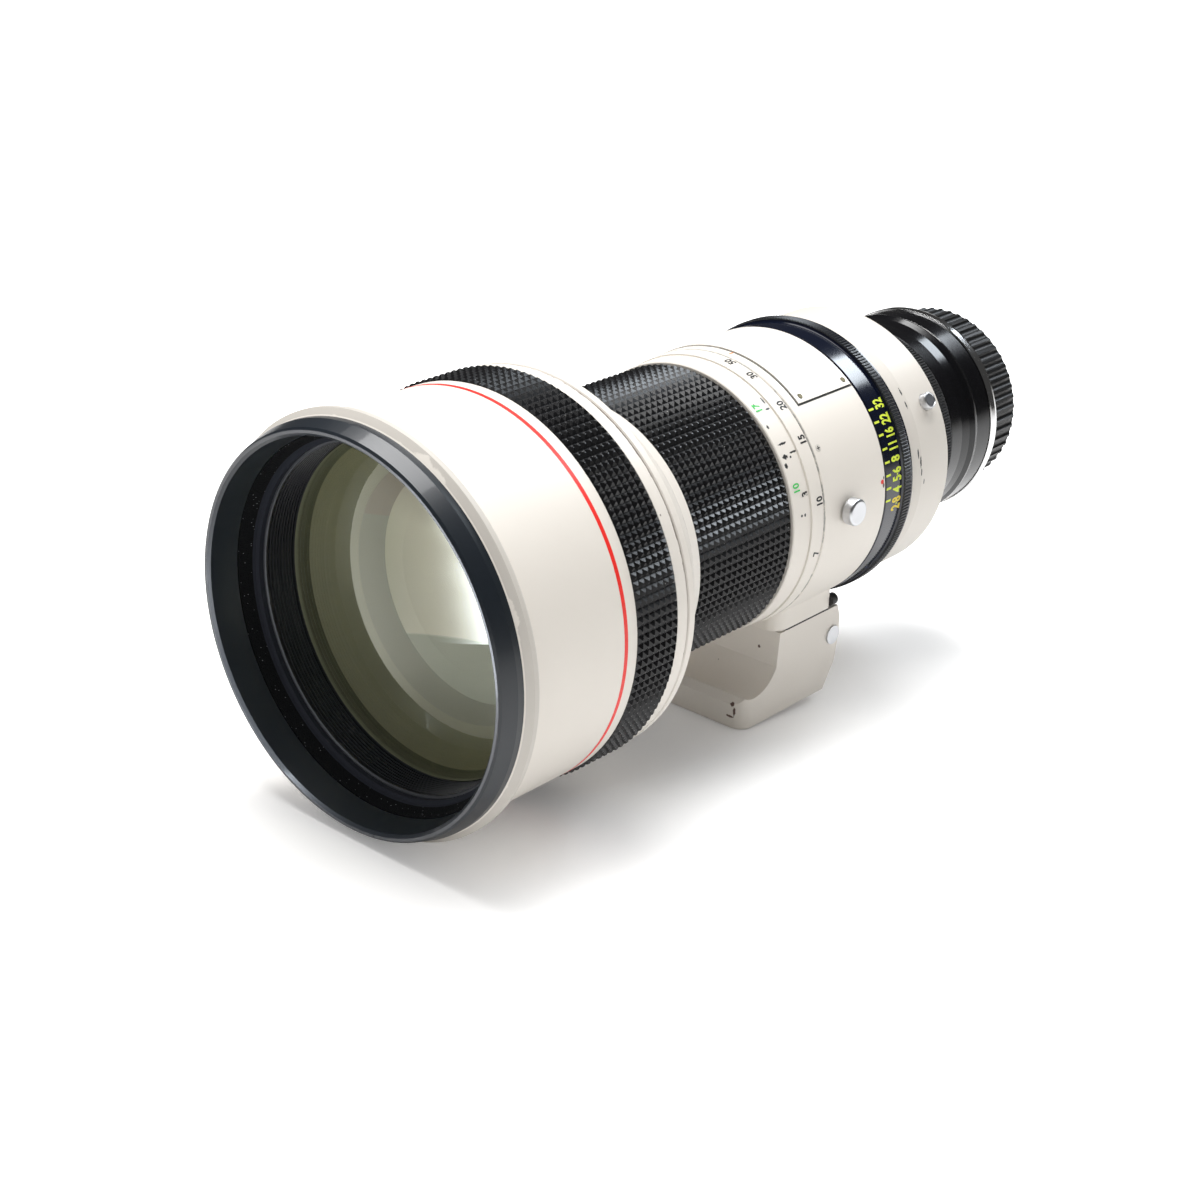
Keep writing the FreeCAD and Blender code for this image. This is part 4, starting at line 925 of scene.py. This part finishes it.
class LENS_OT_fittings(LensOperator, bpy.types.Operator):
    """Finish the studs, button, screws, foot fittings and the inner metal parts"""
    bl_idname = "lens.fittings"
    bl_label = "Metal fittings"

    def execute(self, context):
        satin = metal_finish("Satin Chrome", (0.72, 0.73, 0.75), (0.28, 0.38))
        self.name_field()
        self.small_screws()
        self.studs(satin)
        self.button(satin)
        dress(satin, "foot_side_caps")
        dress(metal_finish("Bright Steel", (0.62, 0.62, 0.61)), "mount_screws", "tripod_thread_bush",
              "button_spring")
        dress(metal_finish("Old Brass", (0.10, 0.085, 0.05), (0.3, 0.45)), "nameplate_screws")
        dress(metal_finish("Brass", (0.66, 0.47, 0.20)), "iris_cam_ring", "iris_housing", "follower_pins")
        dress(metal_finish("Blackened Steel", (0.05, 0.05, 0.055), (0.35, 0.5)),
              *["iris_blade_%d" % (k + 1) for k in range(8)])
        dress(metal_finish("Machined Alloy", (0.6, 0.6, 0.6)), "focus_sleeve")
        dress(black_finish("Tube Anodising", (0.015, 0.015, 0.017), (0.4, 0.55)), "main_tube",
              "focus_cell", "focus_cell_ring", "iris_cover_ring", "rear_inner_tube", "rear_cell",
              "mount_base")
        dress(black_finish("Gasket", (0.03, 0.028, 0.026), (0.6, 0.8)), "foot_gasket")
        return {"FINISHED"}

    def small_screws(self):
        """Painted-over screw with a cross beside the distance scale, its darker enamel and dark cross being
        painted shade of its edge and slots, and the dark screw head behind the foot's pedestal."""
        place = -79.85 * MM
        angle = 58.9
        rim = COLLAR_RADIUS + 0.05 * MM
        top = rim + 0.06 * MM
        low = COLLAR_RADIUS - 0.2 * MM
        head = [(low, ON_AXIS), (low, 1.25 * MM), (rim, 1.25 * MM), (top, 1.0 * MM), (top, ON_AXIS)]
        # Darker enamel on the head: painted shade that outlines it
        paint = enamel("Screw Enamel", shaded(colours().enamel, 0.82))
        place_mesh("collar_screw", knob(place, angle, head), "root", paint, merge=True)
        arm = 0.75 * MM
        half = 0.16 * MM
        turn = math.degrees(half / COLLAR_RADIUS)
        cross = gathered([patch(place - arm, place + arm, angle - turn, angle + turn, top),
                          patch(place - half, place + half, angle - 4.6 * turn, angle + 4.6 * turn, top)])
        # Painted shade: dark strips where the cross slots lie in shadow
        dark = black_finish("Screw Cross", (0.03, 0.03, 0.03), (0.5, 0.6))
        place_mesh("collar_screw_cross", cross, "root", dark, smooth=False)
        front = -50.2 * MM
        edge = -47.4 * MM
        rear = -46.9 * MM
        points, faces = turned([(front, ON_AXIS), (front, 2.0 * MM), (edge, 2.0 * MM), (rear, 1.5 * MM),
                                (rear, ON_AXIS)], 32)
        centre = np.array([27.4, 0, -41.6]) * MM
        place_mesh("pedestal_screw", (points + centre, faces), "root", dark, merge=True)

    def name_field(self):
        """Shadowed slot along the front, the lower edge and the far edge of the name field."""
        dark = plain_paint("Slot Shadow", (0.05, 0.05, 0.048), 0.7)
        floor = COLLAR_RADIUS - 0.2 * MM
        front = -78.7 * MM
        rear = -50.4 * MM
        strips = [patch(front, -78.05 * MM, -38.0, 41.0, floor, 60), patch(front, rear, 40.0, 41.1, floor),
                  patch(front, rear, -38.95, -38.05, floor)]
        place_mesh("name_field_slot", gathered(strips), "root", dark, smooth=False)

    def studs(self, satin):
        """Strap studs with a rounded edge and a dark neck, whose black is painted shade in the gap under
        each head.
        """
        top = 50.8 * MM
        base = 47.2 * MM
        r = 4.4 * MM
        bend = 0.9 * MM
        edge = [(top - bend + bend * math.sin(t), r - bend + bend * math.cos(t))
                for t in np.linspace(0, math.pi / 2, 7)]
        head = [(base, ON_AXIS), (base, r - 0.3 * MM), (base + 0.3 * MM, r)] + edge
        head += [(top - 0.05 * MM, r - 1.5 * MM), (top - 0.05 * MM, ON_AXIS)]
        neck = disc(45.5 * MM, base + 0.1 * MM, 2.8 * MM)
        heads, necks = [gathered([knob(STUD_PLACE, angle, profile) for angle in (87.0, -87.0)])
                        for profile in (head, neck)]
        piece = place_mesh("strap_stud_heads", heads, "root", satin, merge=True)
        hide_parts("strap_studs")
        # Painted shade: black necks where the gap under each head lies in shadow
        dark = black_finish("Neck Black", (0.02, 0.02, 0.02))
        place_mesh("strap_stud_necks", necks, "root", dark, merge=True)

    def button(self, satin):
        """Release button: a bright collar round a darker flat top."""
        top = 48.6 * MM
        low = 45.4 * MM
        foot = 37.0 * MM
        stem = 1.5 * MM
        r = 2.8 * MM
        inner = 2.1 * MM
        collar = [(low, inner), (low, r), (top - 0.5 * MM, r), (top - 0.15 * MM, r - 0.15 * MM),
                  (top, r - 0.5 * MM), (top, inner + 0.2 * MM), (top - 0.25 * MM, inner)]
        piece = place_mesh("button_collar", knob(BUTTON_PLACE, BUTTON_ANGLE, collar), "button",
                           satin)
        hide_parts("release_button")
        cap = [(foot, ON_AXIS), (foot, stem), (low, stem), (low, inner), (top - 0.2 * MM, inner),
               (top - 0.2 * MM, ON_AXIS)]
        grey = black_finish("Button Grey", (0.10, 0.105, 0.115), (0.45, 0.55))
        place_mesh("button_top", knob(BUTTON_PLACE, BUTTON_ANGLE, cap), "button", grey,
                   merge=True)


class LENS_OT_rear(LensOperator, bpy.types.Operator):
    """Finish the adapter, its lock ring, the mounts and the rear cap"""
    bl_idname = "lens.rear"
    bl_label = "Adapter and cap"

    def execute(self, context):
        dress(black_finish("Adapter Gloss", (0.003, 0.003, 0.004), (0.14, 0.2), 0.03), "adapter_body")
        dress(metal_finish("Polished Chrome", (0.86, 0.86, 0.86), (0.08, 0.14), 0.02), "camera_plate",
              "mount_plate")
        dress(black_finish("Cap Plastic", (0.006, 0.006, 0.0065), (0.35, 0.45), 0.1), "rear_cap")
        self.lock_ring()
        return {"FINISHED"}

    def lock_ring(self):
        """Finely toothed matte ring."""
        depth = 0.4 * MM
        rows = bevelled_rows(LOCK_FRONT, LOCK_REAR, 0.5 * MM)
        teeth = 220
        seat = 32.6 * MM
        shape = toothed_band(*rows, LOCK_RADIUS - depth, depth, teeth, KNURL_TOP, seat)
        material = black_finish("Lock Ring Black", (0.008, 0.008, 0.009), (0.5, 0.6), 0.1)
        piece = place_mesh("lock_ring_knurl", shape, "lock_ring", material, smooth=False)
        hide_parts("adapter_lock_ring")


class LENS_OT_stage(LensOperator, bpy.types.Operator):
    """Floor, light and camera"""
    bl_idname = "lens.stage"
    bl_label = "Stage"

    # Edges of the mirrored card, in mm: its far side, where it fades, and its near side
    far_side = ((-78.5, -308.1, 26.0), (-74.2, -311.1, 2.9), (-74.6, -310.4, -25.2),
                (-72.6, -307.9, -45.0), (-71.5, -303.5, -63.4))
    near_side = ((-56.1, -315.8, 36.3), (-36.6, -322.3, 22.7), (-15.6, -326.2, -0.1),
                 (-5.3, -325.3, -21.6), (2.2, -321.3, -45.4))

    def execute(self, context):
        self.floor()
        self.world()
        self.lamps()
        self.card()
        self.camera()
        return {"FINISHED"}

    def sheet(self, name, points, faces):
        """Object of the stage from points and faces."""
        mesh = bpy.data.meshes.new(name)
        mesh.from_pydata(points, [], faces)
        sheet = bpy.data.objects.new(name, mesh)
        bpy.context.scene.collection.objects.link(sheet)
        return sheet

    def floor(self):
        """Pale floor through the two places that the lens rests on, the bead and the foot's toe. The
        camera sees it brighter away from the lens, in two stages: the near one leaves a painted shadow
        round the lens, the far one evens the floor out to white."""
        bead = Vector((0, -232.8 * MM, -63.5 * MM))
        slope = (FOOT_LOW.z - bead.z) / (FOOT_LOW.y - bead.y)
        gap = 0.2 * MM
        half = 6.0
        points = [(x, y, bead.z - gap + (y - bead.y) * slope) for x, y in
                  ((-half, -half), (half, -half), (half, half), (-half, half))]
        floor = self.sheet("floor", points, [(0, 1, 2, 3)])
        material, tree, shader = new_shader("Pale Floor", Base_Color=(0.90, 0.895, 0.89), Roughness=0.7,
                                            Specular_IOR_Level=0.2, Emission_Color=(1, 1, 1))
        # Painted shadow round the lens: the camera's lift is small within a patch stretched along the lens,
        # so the floor stays dark there
        stretch = (1, 0.45, 0)
        shift = (0, 54 * MM, 0)
        away = scaled_distance(tree, stretch, shift)
        near = ramp(tree, away, 0.03, 0.10, 0.08, 0.45)
        far = ramp(tree, away, 0.30, 1.0, 0.0, 0.55)
        seen = add_node(tree, "LightPath").outputs["Is Camera Ray"]
        tree.links.new(calc(tree, "MULTIPLY", seen, calc(tree, "ADD", near, far)),
                       shader.inputs["Emission Strength"])
        floor.data.materials.append(material)

    def world(self):
        """Even pale surroundings, white where they are seen directly and dimmer where mirrored."""
        diffuse = 0.48
        glossy = 0.05
        world = bpy.data.worlds.new("Studio")
        bpy.context.scene.world = world
        world.use_nodes = True
        tree = world.node_tree
        paths = add_node(tree, "LightPath").outputs
        seen = calc(tree, "MULTIPLY_ADD", paths["Is Camera Ray"], 1.0 - diffuse, diffuse)
        strength = calc(tree, "MULTIPLY_ADD", paths["Is Glossy Ray"], glossy - diffuse, seen)
        tint = blend_colour(tree, paths["Is Camera Ray"], (1.0, 0.985, 0.965), (1.0, 1.0, 1.0))
        background = tree.nodes["Background"]
        tree.links.new(tint, background.inputs["Color"])
        tree.links.new(strength, background.inputs["Strength"])

    def lamps(self):
        """Soft light overhead, and a small pale blue one behind that glints on the rubber."""
        self.lamp("key", (-0.35, 0.05, 1.4), (0, -0.1, 0), (1.1, 1.1), 32.0)
        window = self.lamp("window", (0.14, 0.80, 0.78), (0, -0.12, 0), (0.40, 0.26), 4.0)
        window.data.color = (0.86, 0.93, 1.0)

    def card(self):
        """Pale card that only the front element mirrors; its edges lie along mirrored lines of sight
        and it fades towards its far side."""
        points = np.stack([self.far_side, self.near_side], 1).reshape(-1, 3) * MM
        card = self.sheet("mirrored_card", points.tolist(),
                          [(k, k + 1, k + 3, k + 2) for k in range(0, len(points) - 2, 2)])
        layer = card.data.uv_layers.new(name="across")
        for loop in card.data.loops:
            layer.data[loop.index].uv = (loop.vertex_index % 2, 0)
        material, tree, shader = new_shader("Card", Base_Color=(0, 0, 0), Emission_Color=(0.84, 0.90, 1.0),
                                            Emission_Strength=34.0)
        across = add_node(tree, "SeparateXYZ", add_node(tree, "TexCoord").outputs["UV"]).outputs["X"]
        tree.links.new(calc(tree, "POWER", across, 4.4), shader.inputs["Alpha"])
        card.data.materials.append(material)
        for ray in ("camera", "diffuse", "shadow", "transmission"):
            setattr(card, "visible_" + ray, False)

    def lamp(self, name, place, target, size, power):
        """Rectangular soft light aimed at a target; the camera doesn't see it."""
        data = bpy.data.lights.new(name, "AREA")
        data.shape = "RECTANGLE"
        data.size, data.size_y = size
        data.energy = power
        lamp = bpy.data.objects.new(name, data)
        bpy.context.scene.collection.objects.link(lamp)
        aim = Vector(target) - Vector(place)
        lamp.matrix_world = Matrix.Translation(place) @ aim.to_track_quat("-Z", "Y").to_matrix().to_4x4()
        lamp.visible_camera = False
        return lamp

    def camera(self):
        """Camera at the picture's own place, found from the lens's circles."""
        data = bpy.data.cameras.new("camera")
        data.sensor_fit = "HORIZONTAL"
        data.sensor_width = 36.0
        data.lens = sizes().focal_length
        data.clip_end = 50.0
        camera = bpy.data.objects.new("camera", data)
        bpy.context.scene.collection.objects.link(camera)
        right = Vector((0.74722, 0.66413, 0.02429)).normalized()
        ahead = Vector((-0.59731, 0.68717, -0.41353)).normalized()
        up = right.cross(ahead).normalized()
        turn = Matrix((right, up, -ahead)).transposed().to_4x4()
        place = (0.4116, -0.6091, 0.2623)
        camera.matrix_world = Matrix.Translation(place) @ turn
        bpy.context.scene.camera = camera
        bpy.context.scene.view_settings.view_transform = "Standard"


class LENS_PT_panel(bpy.types.Panel):
    """Buttons for the steps, and the lens's sizes and colours"""
    bl_label = "Lens"
    bl_idname = "LENS_PT_panel"
    bl_space_type = "VIEW_3D"
    bl_region_type = "UI"
    bl_category = "Lens"

    def draw(self, context):
        for operator in STEPS:
            self.layout.operator(operator.bl_idname)
        for group in (context.scene.lens_sizes, context.scene.lens_colours):
            for name in group.__annotations__:
                self.layout.prop(group, name)


STEPS = (LENS_OT_effects, LENS_OT_enamel, LENS_OT_front, LENS_OT_glass, LENS_OT_rubber,
         LENS_OT_scales, LENS_OT_fittings, LENS_OT_rear, LENS_OT_stage)
CLASSES = (LensSizes, LensColours) + STEPS + (LENS_PT_panel,)


def register():
    for item in CLASSES:
        bpy.utils.register_class(item)
    bpy.types.Scene.lens_sizes = bpy.props.PointerProperty(type=LensSizes)
    bpy.types.Scene.lens_colours = bpy.props.PointerProperty(type=LensColours)


def unregister():
    del bpy.types.Scene.lens_colours
    del bpy.types.Scene.lens_sizes
    for item in reversed(CLASSES):
        bpy.utils.unregister_class(item)


def main():
    register()
    bpy.ops.lens.effects()
    bpy.ops.lens.enamel()
    bpy.ops.lens.front()
    bpy.ops.lens.glass()
    bpy.ops.lens.rubber()
    bpy.ops.lens.scales()
    bpy.ops.lens.fittings()
    bpy.ops.lens.rear()
    bpy.ops.lens.stage()


if __name__ == "__main__":
    main()
